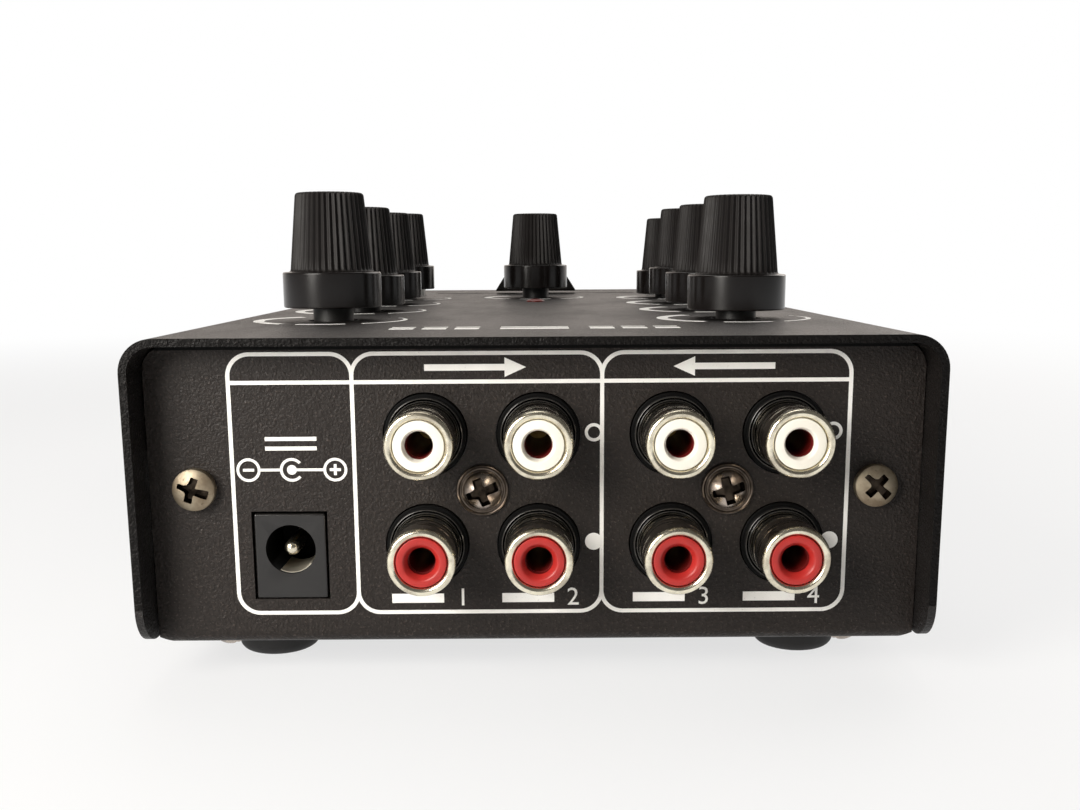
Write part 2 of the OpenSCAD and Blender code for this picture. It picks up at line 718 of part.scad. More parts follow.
header_w = 20;
header_d = 5;
header_h = 8;
header_low_back = 39;       // the headers' distances from the rear panel
header_high_back = 53;
header_low_y = y_rear - header_low_back;
header_high_y = y_rear - header_high_back;

module ribbon_headers() {
    color([0.9, 0.88, 0.8]) {
        translate([0, header_low_y, z_rear_board]) block(header_w, header_d, header_h);
        translate([0, header_high_y, z_control_low - header_h]) block(header_w, header_d, header_h);
    }
}

ribbon_w = 16;
ribbon_t = 0.9;

// The ribbon rises from the lower header, turns level and turns up into the upper one
module ribbon_cable() {
    low = z_rear_board + header_h;
    high = z_control_low - header_h;
    r = (high - low) / 2;
    run = header_low_y - header_high_y - 2 * r;
    color([0.55, 0.55, 0.58]) translate([ribbon_w / 2, header_low_y, low]) rotate([90, 0, -90]) linear_extrude(ribbon_w) {
        translate([r, 0]) quarter_ring(r, 180);
        translate([r - eps, r - ribbon_t / 2]) square([run + 2 * eps, ribbon_t]);
        translate([r + run, 2 * r]) quarter_ring(r, 0);
    }
}

// A quarter of a thin ring, over the angles from turn - 90 to turn
module quarter_ring(r, turn) {
    intersection() {
        difference() {
            circle(r + ribbon_t / 2);
            circle(r - ribbon_t / 2);
        }
        rotate(turn - 90) square(r + 2);
    }
}

// ---- Front sockets ----

leaf_back = 6;              // from the back of a socket body to the middle of its contact
leaf_w = 3;
leaf_len = 8.6;

module front_socket(x) {
    color([0.08, 0.08, 0.08]) difference() {
        union() {
            translate([x, y_front + sheet_t + jack_depth / 2, z_control_low - jack_h])
                block(jack_w, jack_depth, jack_h);
            translate([x, y_front - jack_out, z_jack]) to_rear()
                cylinder(d = jack_bush_d, h = jack_out + sheet_t + 1);
        }
        translate([x, y_front - jack_out - 1, z_jack]) to_rear()
            cylinder(d = jack_bore_d, h = jack_out + jack_depth);
        translate([x, y_front + jack_depth - leaf_back, z_jack + jack_bore_d / 2 - 0.6])
            block(leaf_w + 0.4, leaf_len + 0.4, 1.6);
    }
}

nut_d = 13;
nut_h = 2.2;

module front_socket_nuts() {
    color([0.78, 0.77, 0.74]) for (x = [-jack_x, jack_x]) translate([x, y_front - nut_h, z_jack]) to_rear()
        difference() {
            cylinder(d = nut_d, h = nut_h, $fn = 6);
            translate([0, 0, -1]) cylinder(r = jack_bush_d / 2 + seat_gap, h = 5);
        }
}

module front_socket_contacts() {
    color([0.8, 0.68, 0.4]) for (x = [-jack_x, jack_x])
        translate([x, y_front + jack_depth - leaf_back, z_jack + jack_bore_d / 2 + 0.5])
            block(leaf_w, leaf_len, 0.5);
}

// ---- Rotary controls ----

module potentiometer() {
    boss_h = min(1, board_drop - pot_h - 0.3);
    difference() {
        union() {
            block(pot_w, pot_len, pot_h);
            cylinder(d = shaft_d + 1.2, h = pot_h + boss_h);
            for (t = [-1:1]) translate([t * 2.5, -pot_len / 2 - 0.4, 0]) block(0.9, 1, 2.5);
        }
        translate([0, 0, 1.5]) cylinder(r = shaft_d / 2 + shaft_play, h = board_drop);
    }
}

module potentiometers() {
    color([0.35, 0.36, 0.34]) for (k = [0:8]) place_control(k) translate([0, 0, z_control]) potentiometer();
}

// The shaft runs in the potentiometer and ends in the knob's hub
shaft_in_knob = 11;

module shaft(k) {
    low = z_control + 1.5 + shaft_play;
    color([0.12, 0.12, 0.12]) place_control(k) translate([0, 0, low])
        cylinder(d = shaft_d, h = z_top + knob_gap(k) + shaft_in_knob - low);
}

// The flutes are the teeth of this outline
module fluted_outline(d) {
    polygon([for (i = [0:2 * flutes - 1]) (d / 2 - (i % 2) * flute_depth) * [cos(i * 180 / flutes), sin(i * 180 / flutes)]]);
}

pointer_angle = 240;        // the pointer rests at seven o'clock, as the user sees it

module knob(k) {
    grip_h = knob_h - skirt_h;
    crown = 0.8;
    color([0.07, 0.07, 0.07]) place_control(k) translate([0, 0, z_top + knob_gap(k)]) difference() {
        union() {
            cylinder(d = skirt_d, h = skirt_h - skirt_bevel);
            translate([0, 0, skirt_h - skirt_bevel])
                cylinder(d1 = skirt_d, d2 = skirt_d - 2 * skirt_bevel, h = skirt_bevel);
            translate([0, 0, skirt_h - 0.5]) linear_extrude(grip_h + 0.5 - crown, scale = grip_top_d / grip_d)
                fluted_outline(grip_d);
            translate([0, 0, knob_h - crown - eps])
                cylinder(d1 = grip_top_d - 2 * flute_depth, d2 = grip_top_d - 2 * flute_depth - 2 * crown, h = crown + eps);
        }
        translate([0, 0, -eps]) ring(skirt_d / 2 - 1.2, shaft_d / 2 + 1.6, 2.5);
        translate([0, 0, -1]) cylinder(r = shaft_d / 2 + seat_gap, h = shaft_in_knob + 1);
        rotate(pointer_angle) translate([1, -0.4, knob_h - 0.3]) cube([skirt_d, 0.8, 1]);
    }
}

// ---- Crossfader ----

fader_screw_x = fader_travel / 2 + cap_w / 2 + 4.5;    // the screws stay clear of the cap
frame_len = 2 * (fader_screw_x + 3.5);
frame_wall = 0.8;
slider_len = 10;
frame_room = fader_travel + slider_len + 2;             // length of the space for the slider
frame_h = 7;
frame_d = 9.6;
slot_len = fader_travel + tongue_w + 2;                 // the opening for the tongue
slot_w = tongue_t + 1.2;
tongue_low = z_under - frame_h + frame_wall + edge_gap;

// A sheet-metal channel under the cover, open at the top for the tongue
module crossfader_frame() {
    color([0.6, 0.61, 0.6]) translate([0, y_fader, z_under - frame_h]) difference() {
        block(frame_len, frame_d, frame_h);
        translate([0, 0, frame_wall])
            block(frame_room, frame_d - 2 * frame_wall, frame_h - 1 - frame_wall);
        translate([0, 0, 2]) block(slot_len, slot_w, frame_h);
        for (s = [-1, 1]) translate([s * fader_screw_x, 0, frame_wall])
            cylinder(d = thread_d + 2 * seat_gap, h = frame_h);
    }
}

module crossfader_screws() {
    color([0.72, 0.66, 0.56]) for (s = [-1, 1]) translate([s * fader_screw_x, y_fader, z_top])
        cross_screw(4.6, 1.5, sheet_t + 5);
}

module crossfader_tongue() {
    color([0.7, 0.7, 0.68]) translate([0, y_fader, 0]) {
        translate([0, 0, tongue_low]) block(slider_len, frame_d - 2 * (frame_wall + edge_gap), 3.6);
        translate([0, 0, tongue_low + 3]) block(tongue_w, tongue_t, z_top + cap_gap + 6 - tongue_low - 3);
    }
}

// Half of the cap's outline, with a hollow for the finger between the flank and the ridge
module cap_half() {
    edge = cap_w / 2 - 3.2;
    hollow_r = edge - 1.2;
    difference() {
        polygon([[0, 0], [cap_w / 2, 0], [cap_w / 2 - 2.3, 3.6], [edge, cap_h - hollow_r], [edge, cap_h], [0, cap_h]]);
        translate([edge, cap_h]) circle(hollow_r);
    }
}

module crossfader_cap() {
    color([0.07, 0.07, 0.07]) translate([0, y_fader + cap_depth / 2, z_top + cap_gap]) difference() {
        rotate([90, 0, 0]) linear_extrude(cap_depth) union() {
            cap_half();
            mirror([1, 0]) cap_half();
        }
        translate([0, -cap_depth / 2, -1]) block(tongue_w + 2 * seat_gap, tongue_t + 2 * seat_gap, 7);
    }
}

// ---- Cue buttons and lamp ----

switch_h = board_drop - 3.2;
plunger_r = 1.4;

module cue_switches() {
    color([0.2, 0.2, 0.22]) for (x = cue_x) translate([x, y_cue, z_control]) difference() {
        block(8, 8, switch_h);
        translate([0, 0, 1]) cylinder(r = plunger_r + shaft_play, h = switch_h);
    }
}

module cue_button(x) {
    low = z_under - 1.3;
    color([0.62, 0.62, 0.6]) translate([x, y_cue, 0]) {
        translate([0, 0, low]) block(cue_w, cue_w, z_top + cue_out - low);
        translate([0, 0, z_control + 1 + cue_travel + 0.3]) cylinder(r = plunger_r, h = low - z_control - 1 - cue_travel);
    }
}

module power_lamp() {
    r = lamp_d / 2;
    color([0.85, 0.2, 0.18]) translate([0, y_lamp, 0]) {
        translate([0, 0, z_top + lamp_out - r]) intersection() {
            sphere(r);
            cylinder(r = r, h = r);
        }
        translate([0, 0, z_under - 3]) cylinder(r = r, h = z_top + lamp_out - r - z_under + 3);
        translate([0, 0, z_under - 4]) cylinder(r = r + 0.4, h = 1);
        for (s = [-1, 1]) translate([s * 0.8, 0, z_control]) block(0.5, 0.5, board_drop - 3.5);
    }
}

chassis();
top_cover();
corner_brackets();
panel_screws();
side_screws();
rubber_feet();
foot_screws();
foot_nuts();
socket_block(output_x);  // output_socket_block
socket_block(input_x);  // input_socket_block
block_screws();
socket_sleeves();
insulators(1, [0.93, 0.92, 0.88]);  // white_insulators
insulators(-1, [0.75, 0.08, 0.09]);  // red_insulators
socket_liners();
socket_contacts();
dc_inlet_housing();
dc_inlet_pin();
dc_inlet_spring();
rear_board();
control_board();
board_spacers();
board_screws();
underside_screws();
capacitors();
amplifier_chips();
voltage_regulator();
ribbon_cable();
ribbon_headers();
front_socket(-jack_x);  // headphone_socket
front_socket(jack_x);  // microphone_socket
front_socket_nuts();
front_socket_contacts();
potentiometers();
for (k = [0:8]) {
    knob(k);
    shaft(k);
}
crossfader_frame();
crossfader_screws();
crossfader_tongue();
crossfader_cap();
power_lamp();
cue_switches();
cue_button(-column_x);  // cue_1_button
cue_button(column_x);  // cue_2_button
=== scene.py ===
"""Looks for a compact two-channel DJ mixer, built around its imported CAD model."""
import json
import math

import bmesh
import bpy
from mathutils import Matrix, Vector

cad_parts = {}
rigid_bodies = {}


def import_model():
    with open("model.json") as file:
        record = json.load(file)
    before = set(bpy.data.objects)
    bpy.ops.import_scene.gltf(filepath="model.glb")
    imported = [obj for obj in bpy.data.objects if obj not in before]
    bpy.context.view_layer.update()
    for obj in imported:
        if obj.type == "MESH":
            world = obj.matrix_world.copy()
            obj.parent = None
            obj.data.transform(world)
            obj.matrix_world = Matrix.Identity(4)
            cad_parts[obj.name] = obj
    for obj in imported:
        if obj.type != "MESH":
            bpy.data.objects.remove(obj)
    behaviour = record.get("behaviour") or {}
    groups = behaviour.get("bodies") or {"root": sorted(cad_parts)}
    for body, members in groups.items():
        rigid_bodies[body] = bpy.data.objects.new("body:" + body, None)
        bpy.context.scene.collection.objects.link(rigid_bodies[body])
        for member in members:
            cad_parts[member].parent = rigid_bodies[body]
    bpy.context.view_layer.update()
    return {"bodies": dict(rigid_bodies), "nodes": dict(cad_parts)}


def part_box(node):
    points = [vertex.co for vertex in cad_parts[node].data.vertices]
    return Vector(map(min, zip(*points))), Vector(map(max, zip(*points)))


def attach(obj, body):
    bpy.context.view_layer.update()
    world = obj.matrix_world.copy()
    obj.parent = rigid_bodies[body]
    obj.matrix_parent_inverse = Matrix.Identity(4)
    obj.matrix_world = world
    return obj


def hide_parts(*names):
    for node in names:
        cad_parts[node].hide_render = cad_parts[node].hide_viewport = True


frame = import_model()
SLOTS = {name: node.data.materials[0].name for name, node in frame["nodes"].items()}
for plain in bpy.data.materials:
    plain.name = "plain_" + plain.name

bl_info = {
    "name": "DJ mixer looks",
    "version": (1, 0, 0),
    "blender": (4, 5, 0),
    "location": "View3D > Sidebar > Mixer",
    "description": "Builds the finished pieces of a compact DJ mixer around its CAD frame",
    "category": "Object",
}

MM = 0.001
CASE = "mixer_case"
CONTROLS = [body for body in frame["bodies"] if body + "_knob" in frame["nodes"]]

# Planes of the case, in mm
PANEL_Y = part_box("chassis")[1].y / MM
FRONT_Y = PANEL_Y - 185.0
TOP_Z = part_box("top_cover")[1].z / MM
BASE_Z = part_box("chassis")[0].z / MM

# The socket blocks' middles, and how far the sockets stand apart and reach inwards
PHONO_Z = BASE_Z + 19.9
BLOCK_X = (6.6, -24.0)
PHONO_PITCH = 14.0
SOCKET_DEPTH = 7.0

# The power inlet's axis, and the radius of its bore
DC_X, DC_Z = 30.9, BASE_Z + 12.4
DC_BORE = 3.15

# Knobs are pressed on by hand: how far each sits above or below its drawn place, in mm
SEATS = {"ch2_treble": -0.9, "ch2_bass": -0.7, "ch2_level": 0.2, "ch1_bass": 0.5,
         "ch1_level": -0.4}

# From the Z axis to the way that a side of the case faces
TO_REAR = Matrix.Rotation(math.radians(-90), 4, "X")
TO_FRONT = Matrix.Rotation(math.radians(90), 4, "X")
TO_RIGHT = Matrix.Rotation(math.radians(90), 4, "Y")
TO_LEFT = Matrix.Rotation(math.radians(-90), 4, "Y")


# ---- Shader maths ----

class Tone:
    """A value or colour that varies over a surface; arithmetic on values adds Math nodes."""

    def __init__(self, finish, socket):
        self.finish = finish
        self.socket = socket

    def maths(self, operation, first, second):
        return self.finish.node(
            "ShaderNodeMath", {"operation": operation}, {0: first, 1: second})

    def __add__(self, other):
        return self.maths("ADD", self, other)

    def __radd__(self, other):
        return self.maths("ADD", other, self)

    def __sub__(self, other):
        return self.maths("SUBTRACT", self, other)

    def __rsub__(self, other):
        return self.maths("SUBTRACT", other, self)

    def __mul__(self, other):
        return self.maths("MULTIPLY", self, other)

    def __rmul__(self, other):
        return self.maths("MULTIPLY", other, self)

    def __truediv__(self, other):
        return self.maths("DIVIDE", self, other)

    def __rtruediv__(self, other):
        return self.maths("DIVIDE", other, self)

    def between(self, low, high, start=0.0, end=1.0):
        """The value mapped smoothly from low..high to start..end, and held outside."""
        return self.finish.node(
            "ShaderNodeMapRange", {"interpolation_type": "SMOOTHSTEP"},
            {"Value": self, "From Min": low, "From Max": high, "To Min": start, "To Max": end})


def pick(sockets, key):
    """A node's socket by its number, name or identifier."""
    if isinstance(key, int):
        return sockets[key]
    for socket in sockets:
        if socket.identifier == key:
            return socket
    return sockets[key]


class Shading:
    """A node tree under construction."""

    def __init__(self, owner):
        owner.use_nodes = True
        self.nodes = owner.node_tree.nodes
        self.links = owner.node_tree.links
        self.nodes.clear()

    def node(self, kind, settings=None, sockets=None, output=0):
        """Adds a node: first its settings, then the values or links of its sockets."""
        node = self.nodes.new(kind)
        for key, value in (settings or {}).items():
            setattr(node, key, value)
        for key, value in (sockets or {}).items():
            self.feed(pick(node.inputs, key), value)
        return None if output is None else Tone(self, pick(node.outputs, output))

    def feed(self, socket, value):
        if isinstance(value, Tone):
            self.links.new(value.socket, socket)
        elif isinstance(value, tuple) and socket.type == "RGBA":
            socket.default_value = (*value[:3], 1.0)
        else:
            socket.default_value = value

    def rays(self):
        """Which rays come from the camera, from a glossy surface and through a clear one."""
        return [self.node("ShaderNodeLightPath", output=name)
                for name in ("Is Camera Ray", "Is Glossy Ray", "Is Transmission Ray")]


class Finish(Shading):
    """A material that ends in a Principled shader."""

    def __init__(self, name, **constants):
        self.name = name
        self.material = bpy.data.materials.new(name)
        super().__init__(self.material)
        self.shader = self.nodes.new("ShaderNodeBsdfPrincipled")
        self.out = self.nodes.new("ShaderNodeOutputMaterial")
        self.links.new(self.shader.outputs[0], self.out.inputs[0])
        self.place = self.node("ShaderNodeTexCoord", output="Object")
        self.set(**constants)

    def set(self, **inputs):
        for name, value in inputs.items():
            self.feed(self.shader.inputs[name.replace("_", " ")], value)

    def noise(self, size, detail=2.0, roughness=0.5, place=None):
        """Noise whose features are about size mm across."""
        return self.node(
            "ShaderNodeTexNoise", {},
            {"Vector": place or self.place, "Scale": 1.0 / (size * MM), "Detail": detail,
             "Roughness": roughness})

    def cells(self, size, feature="F1"):
        """Distances in a cell pattern whose cells are about size mm across."""
        return self.node(
            "ShaderNodeTexVoronoi", {"feature": feature},
            {"Vector": self.place, "Scale": 1.0 / (size * MM)})

    def blend(self, factor, low, high):
        """A colour between low and high."""
        return self.node(
            "ShaderNodeMix", {"data_type": "RGBA"},
            {"Factor_Float": factor, "A_Color": low, "B_Color": high}, "Result_Color")

    def axis(self, name):
        """One of the three coordinates, in mm."""
        return self.node("ShaderNodeSeparateXYZ", {}, {0: self.place}, name) * (1.0 / MM)

    def stretched(self, x, y, z):
        """The place with each axis scaled, for grain and brushed lines."""
        return self.node("ShaderNodeMapping", {}, {"Vector": self.place, "Scale": (x, y, z)})

    def bump(self, height, depth, strength=1.0):
        """Raises the surface by up to depth mm."""
        self.feed(self.shader.inputs["Normal"], self.node(
            "ShaderNodeBump", {},
            {"Strength": strength, "Distance": depth * MM, "Height": height}, "Normal"))
        return self


def shade(colour, factor):
    return tuple(min(1.0, channel * factor) for channel in colour)


def mm(length):
    """A length property in mm."""
    return length / MM


# ---- Finishes ----

DUST = (0.26, 0.24, 0.21)


def powder_coat(name, colour, grain, gloss, relief):
    """Textured powder coat: fine pimples, a little dust, and sparse bright grains that are painted
    glints.
    """
    look = Finish(name, Specular_IOR_Level=gloss)
    cloud = look.noise(28.0, 3.0, 0.6).between(0.3, 0.7)
    speck = look.noise(grain * 1.4, 2.0, 0.5).between(0.35, 0.7)
    glint_fleck = look.noise(grain, 1.0, 0.4).between(0.62, 0.72)
    dust = look.noise(0.5, 2.0, 0.7).between(0.74, 0.8) * look.noise(14.0, 2.0).between(0.5, 0.75)
    paint = look.blend(cloud, shade(colour, 0.88), shade(colour, 1.12))
    paint = look.blend(speck, shade(colour, 0.7), paint)
    # Bright grains: painted glints of the coat's grain
    paint = look.blend(glint_fleck * 0.5, paint, shade(colour, 3.4))
    paint = look.blend(dust * 0.25, paint, DUST)
    smear = look.noise(9.0, 4.0, 0.65, look.stretched(1.0, 0.35, 1.0)).between(0.35, 0.75)
    look.set(Base_Color=paint, Roughness=0.40 + smear * 0.1 - glint_fleck * 0.16)
    pimples = look.noise(grain, 2.0, 0.6) + look.noise(grain * 2.8, 1.0) * 0.6
    return look.bump(pimples, grain * relief)


def plated(name, colour, roughness, tarnish, wear=0.5, depth=0.006):
    """Plated metal with small stains and a tarnished bloom."""
    look = Finish(name, Metallic=1.0)
    bloom = look.noise(2.4, 3.0, 0.6).between(0.35, 0.72)
    stain = look.noise(0.5, 2.0, 0.6).between(0.62, 0.76)
    metal = look.blend(bloom * wear, colour, tarnish)
    metal = look.blend(stain * wear * 0.5, metal, shade(tarnish, 0.5))
    look.set(Base_Color=metal, Roughness=roughness + (bloom * 0.14 + stain * 0.2) * wear)
    return look.bump(look.noise(0.22, 2.0) + look.noise(1.1, 1.0), depth, 0.6)


def moulded(name, colour, roughness, grain=0.12, depth=0.01, mottle=0.12, rub=0.08, **constants):
    """Moulded plastic: a faint mottle, a fine spark-eroded grain and handling marks."""
    look = Finish(name, **constants)
    mottled = look.noise(3.5, 3.0, 0.6).between(0.3, 0.7)
    rubbed = look.noise(6.0, 4.0, 0.7).between(0.5, 0.75)
    look.set(
        Base_Color=look.blend(mottled, shade(colour, 1.0 - mottle), shade(colour, 1.0 + mottle)),
        Roughness=roughness + rub * (0.6 * mottled - rubbed))
    return look.bump(look.noise(grain, 2.0), depth, 0.7)


def board_finish(name):
    """Solder mask with traces that show through it, and tinned pads."""
    look = Finish(name, Roughness=0.32)
    traces = look.cells(1.9, "DISTANCE_TO_EDGE").between(0.02, 0.05)
    pads = look.cells(2.54).between(0.16, 0.2)
    mask = look.blend(traces, (0.035, 0.2, 0.085), (0.018, 0.1, 0.045))
    look.set(Base_Color=look.blend(pads, (0.55, 0.56, 0.5), mask), Metallic=1.0 - pads)
    return look.bump(traces, 0.03, 0.6)


def ribbon_finish(name):
    """Flat cable: ten side-by-side wires with a red first one."""
    look = Finish(name, Roughness=0.5)
    across, half_pitch = look.axis("X"), 0.8
    wires = look.node(
        "ShaderNodeMath", {"operation": "PINGPONG"}, {0: across, 1: half_pitch}) / half_pitch
    grey = look.blend(wires, (0.25, 0.25, 0.27), (0.42, 0.42, 0.44))
    look.set(Base_Color=look.blend(across.between(6.3, 6.5), grey, (0.5, 0.04, 0.03)))
    return look.bump(wires, 0.2, 0.8)


def lamp_finish(name):
    """A red diffused lens."""
    look = Finish(name, Roughness=0.3)
    glow = look.noise(0.7, 2.0).between(0.3, 0.7)
    look.set(Base_Color=look.blend(glow, (0.10, 0.006, 0.005), (0.20, 0.014, 0.010)))
    return look.bump(look.noise(0.2, 1.0), 0.004, 0.5)


def print_finish(name, colour):
    """Screen-printed ink: thin, slightly uneven, with the coat's grain showing through."""
    look = Finish(name)
    thin = look.noise(0.22, 2.0, 0.7).between(0.62, 0.8)
    broad = look.noise(5.0, 2.0).between(0.3, 0.7)
    ink = look.blend(broad, shade(colour, 0.92), colour)
    look.set(Base_Color=look.blend(thin * 0.55, ink, shade(colour, 0.35)),
             Roughness=0.5 + thin * 0.15)
    return look.bump(look.noise(0.22, 2.0), 0.015, 0.6)


# Plated metals: colour, roughness, colour of the tarnish, and where given the wear and the relief
PLATED = {
    "zinc_plate": ((0.62, 0.62, 0.6), 0.26, (0.5, 0.47, 0.4)),
    "warm_nickel": ((0.40, 0.34, 0.25), 0.5, (0.22, 0.165, 0.11), 0.85, 0.03),
    "dark_nickel": ((0.50, 0.43, 0.37), 0.26, (0.16, 0.12, 0.10), 0.8),
    # Dark plating of the block screws' washers, darkened further as painted dark reflection; it
    # also paints the shade at the foot of their heads
    "washer_black_and_painted_shade": ((0.13, 0.105, 0.085), 0.28, (0.05, 0.04, 0.032), 0.85),
    # Near-black for the inside of the cross recesses: painted shade in the recess
    "recess_painted_shade": ((0.06, 0.046, 0.034), 0.3, (0.008, 0.006, 0.005), 0.95, 0.06),
    "bright_nickel": ((0.90, 0.84, 0.67), 0.2, (0.40, 0.34, 0.26), 0.7, 0.0005),
    "satin_nickel": ((0.86, 0.80, 0.68), 0.48, (0.6, 0.54, 0.43), 0.3, 0.002),
    # A darker copy of the sleeves' nickel for their sides and bores: painted shade and dark
    # reflection
    "sleeve_nickel_painted_shade": ((0.62, 0.57, 0.49), 0.09, (0.5, 0.45, 0.38), 0.3, 0.0004),
    "contact_brass": ((0.78, 0.6, 0.28), 0.28, (0.42, 0.28, 0.1)),
}

# Plastics and rubber: colour, roughness, and where given the grain, its depth, mottle and rub
MOULDED = {
    "foot_rubber": ((0.014, 0.013, 0.013), 0.62, 0.25, 0.02),
    "socket_plastic": ((0.013, 0.012, 0.0115), 0.24, 0.16, 0.003, 0.12, 0.04),
    # A lighter grey for the crests of the collar ridges: painted highlight
    "collar_painted_highlight": ((0.05, 0.048, 0.045), 0.2, 0.16, 0.003, 0.12, 0.04),
    "white_plastic": ((0.92, 0.89, 0.80), 0.38, 0.2, 0.003, 0.03),
    "red_plastic": ((0.43, 0.022, 0.018), 0.36, 0.2, 0.003, 0.1),
    "dark_red_plastic": ((0.14, 0.006, 0.005), 0.4, 0.2, 0.004),
    "capacitor_sleeve": ((0.03, 0.035, 0.09), 0.25, 0.3, 0.004),
    "chip_black": ((0.02, 0.02, 0.022), 0.55, 0.1, 0.012),
    "header_cream": ((0.72, 0.66, 0.52), 0.45, 0.2, 0.006, 0.06),
    "pot_grey": ((0.12, 0.125, 0.12), 0.45, 0.2, 0.008),
    "shaft_black": ((0.012, 0.0115, 0.011), 0.45, 0.15, 0.006),
    "button_grey": ((0.32, 0.32, 0.31), 0.48, 0.12, 0.008),
}

FINISHES = {}


def make_finishes(look):
    """One finish for each material slot of the record, and the few that only new pieces use."""
    paint, knob, grain = tuple(look.paint), tuple(look.knob_colour), mm(look.coat_grain)
    made = [
        powder_coat("cover_paint", paint, grain, 0.36, 0.75),
        # A darker copy of the cover paint for the cover's ends: painted shade on the sheet's edges
        powder_coat("painted_shade_edge", shade(paint, 0.4), grain, 0.13, 0.6),
        powder_coat("chassis_paint", tuple(look.panel_paint), grain, 0.22, 0.45),
        moulded("knob_black", knob, 0.55, 0.09, 0.012, Specular_IOR_Level=0.32),
        moulded("knob_gloss", shade(knob, 0.8), 0.2, 0.2, 0.002, 0.1, 0.02,
                Specular_IOR_Level=0.34),
        # Near-black, darker than the black plastic: painted shade inside bores, grooves and gaps,
        # and the painted shadow under the cover
        moulded("painted_shade_black", (0.003, 0.003, 0.003), 0.6, Specular_IOR_Level=0.1),
        board_finish("board_green"), ribbon_finish("ribbon_grey"), lamp_finish("lamp_red"),
        print_finish("ink", tuple(look.ink)),
    ]
    made += [plated(name, *values) for name, values in PLATED.items()]
    made += [moulded(name, *values) for name, values in MOULDED.items()]
    FINISHES.update({finish.name: finish.material for finish in made})


# ---- Mesh helpers ----

def spun(profile, steps=64, closed=False):
    """A shape turned around Z from (radius, height) points in mm."""
    bm = bmesh.new()
    verts = [bm.verts.new((r * MM, 0.0, z * MM)) for r, z in profile]
    edges = [bm.edges.new(pair) for pair in zip(verts, verts[1:])]
    if closed:
        edges.append(bm.edges.new((verts[-1], verts[0])))
    bmesh.ops.spin(
        bm, geom=verts + edges, cent=(0, 0, 0), axis=(0, 0, 1), dvec=(0, 0, 0),
        angle=2 * math.pi, steps=steps, use_merge=True, use_normal_flip=False, use_duplicate=False)
    bmesh.ops.remove_doubles(bm, verts=bm.verts, dist=1e-7)
    bmesh.ops.recalc_face_normals(bm, faces=bm.faces)
    return bm


def stacked(rings, segments):
    """A closed shape of rings along Z; each ring gives a (radius, height) in mm for an angle."""
    bm = bmesh.new()
    bmesh.ops.create_circle(bm, segments=segments, radius=1.0)
    loop = list(bm.edges)

    def settle(verts, ring):
        for vert in verts:
            angle = math.atan2(vert.co.y, vert.co.x)
            radius, height = ring(angle)
            vert.co = Vector((radius * math.cos(angle), radius * math.sin(angle), height)) * MM

    settle(bm.verts, rings[0])
    bmesh.ops.contextual_create(bm, geom=loop)
    for ring in rings[1:]:
        made = bmesh.ops.extrude_edge_only(bm, edges=loop)["geom"]
        loop = [item for item in made
                if isinstance(item, bmesh.types.BMEdge) and len(item.link_faces) == 1
                and all(len(vert.link_faces) < 3 for vert in item.verts)]
        verts = {vert for edge in loop for vert in edge.verts}
        settle(verts, ring)
    bmesh.ops.contextual_create(bm, geom=loop)
    bmesh.ops.recalc_face_normals(bm, faces=bm.faces)
    return bm


def ring(radius, height):
    """A round ring for a stacked shape."""
    return lambda angle: (radius, height)


def soften(bm, width, angle=30.0, segments=2, where=None):
    """Rounds the edges that turn by more than angle degrees."""
    edges = [edge for edge in bm.edges
             if edge.is_manifold and edge.calc_face_angle(0.0) > math.radians(angle)
             and (where is None or where(edge))]
    bmesh.ops.bevel(
        bm, geom=edges, offset=width * MM, offset_type="OFFSET", segments=segments, profile=0.5,
        affect="EDGES", material=-1, clamp_overlap=True)
    return bm


def cut(bm, place, normal):
    """Adds edges where a plane through the place, in mm, crosses the faces."""
    bmesh.ops.bisect_plane(
        bm, geom=bm.verts[:] + bm.edges[:] + bm.faces[:], dist=1e-7,
        plane_co=Vector(place) * MM, plane_no=normal)


def mark(bm, index, where):
    """Gives the faces whose middle, in mm, passes the test another finish of their piece."""
    for face in bm.faces:
        if where(face.calc_center_median() / MM):
            face.material_index = index
    return bm


def extent(node):
    """A CAD node's lowest corner, highest corner and middle, in mm."""
    low, high = (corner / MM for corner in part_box(node))
    return low, high, (low + high) / 2


def from_axis(point):
    """How far a point is from the Z axis."""
    return math.hypot(point.x, point.y)


def merged_copy(node):
    """A CAD node's mesh with its loose triangles merged and its flat faces joined."""
    bm = bmesh.new()
    bm.from_mesh(frame["nodes"][node].data)
    bmesh.ops.remove_doubles(bm, verts=bm.verts, dist=2e-6)
    bmesh.ops.dissolve_limit(
        bm, angle_limit=math.radians(0.4), verts=bm.verts, edges=bm.edges)
    return bm


def moved(bm, matrix):
    bmesh.ops.transform(bm, matrix=matrix, verts=bm.verts)
    return bm


def shift(x=0.0, y=0.0, z=0.0):
    return Matrix.Translation(Vector((x, y, z)) * MM)


def turn(degrees):
    return Matrix.Rotation(math.radians(degrees), 4, "Z")


def repeated(bm, places):
    """One bmesh with a copy of the shape at each place."""
    mesh = bpy.data.meshes.new("template")
    bm.to_mesh(mesh)
    bm.free()
    result = bmesh.new()
    for place in places:
        before = len(result.verts)
        result.from_mesh(mesh)
        result.verts.ensure_lookup_table()
        bmesh.ops.transform(result, matrix=place, verts=result.verts[before:])
    bpy.data.meshes.remove(mesh)
    return result


def joined(*parts):
    """One bmesh from (bmesh, index) pairs. The index goes to the faces whose material is 0."""
    result = bmesh.new()
    for part, index in parts:
        for face in part.faces:
            face.material_index = face.material_index or index
        mesh = bpy.data.meshes.new("part")
        part.to_mesh(mesh)
        part.free()
        result.from_mesh(mesh)
        bpy.data.meshes.remove(mesh)
    return result


def together(shapes):
    """One bmesh from several, all with the same finish."""
    return joined(*((shape, 0) for shape in shapes))


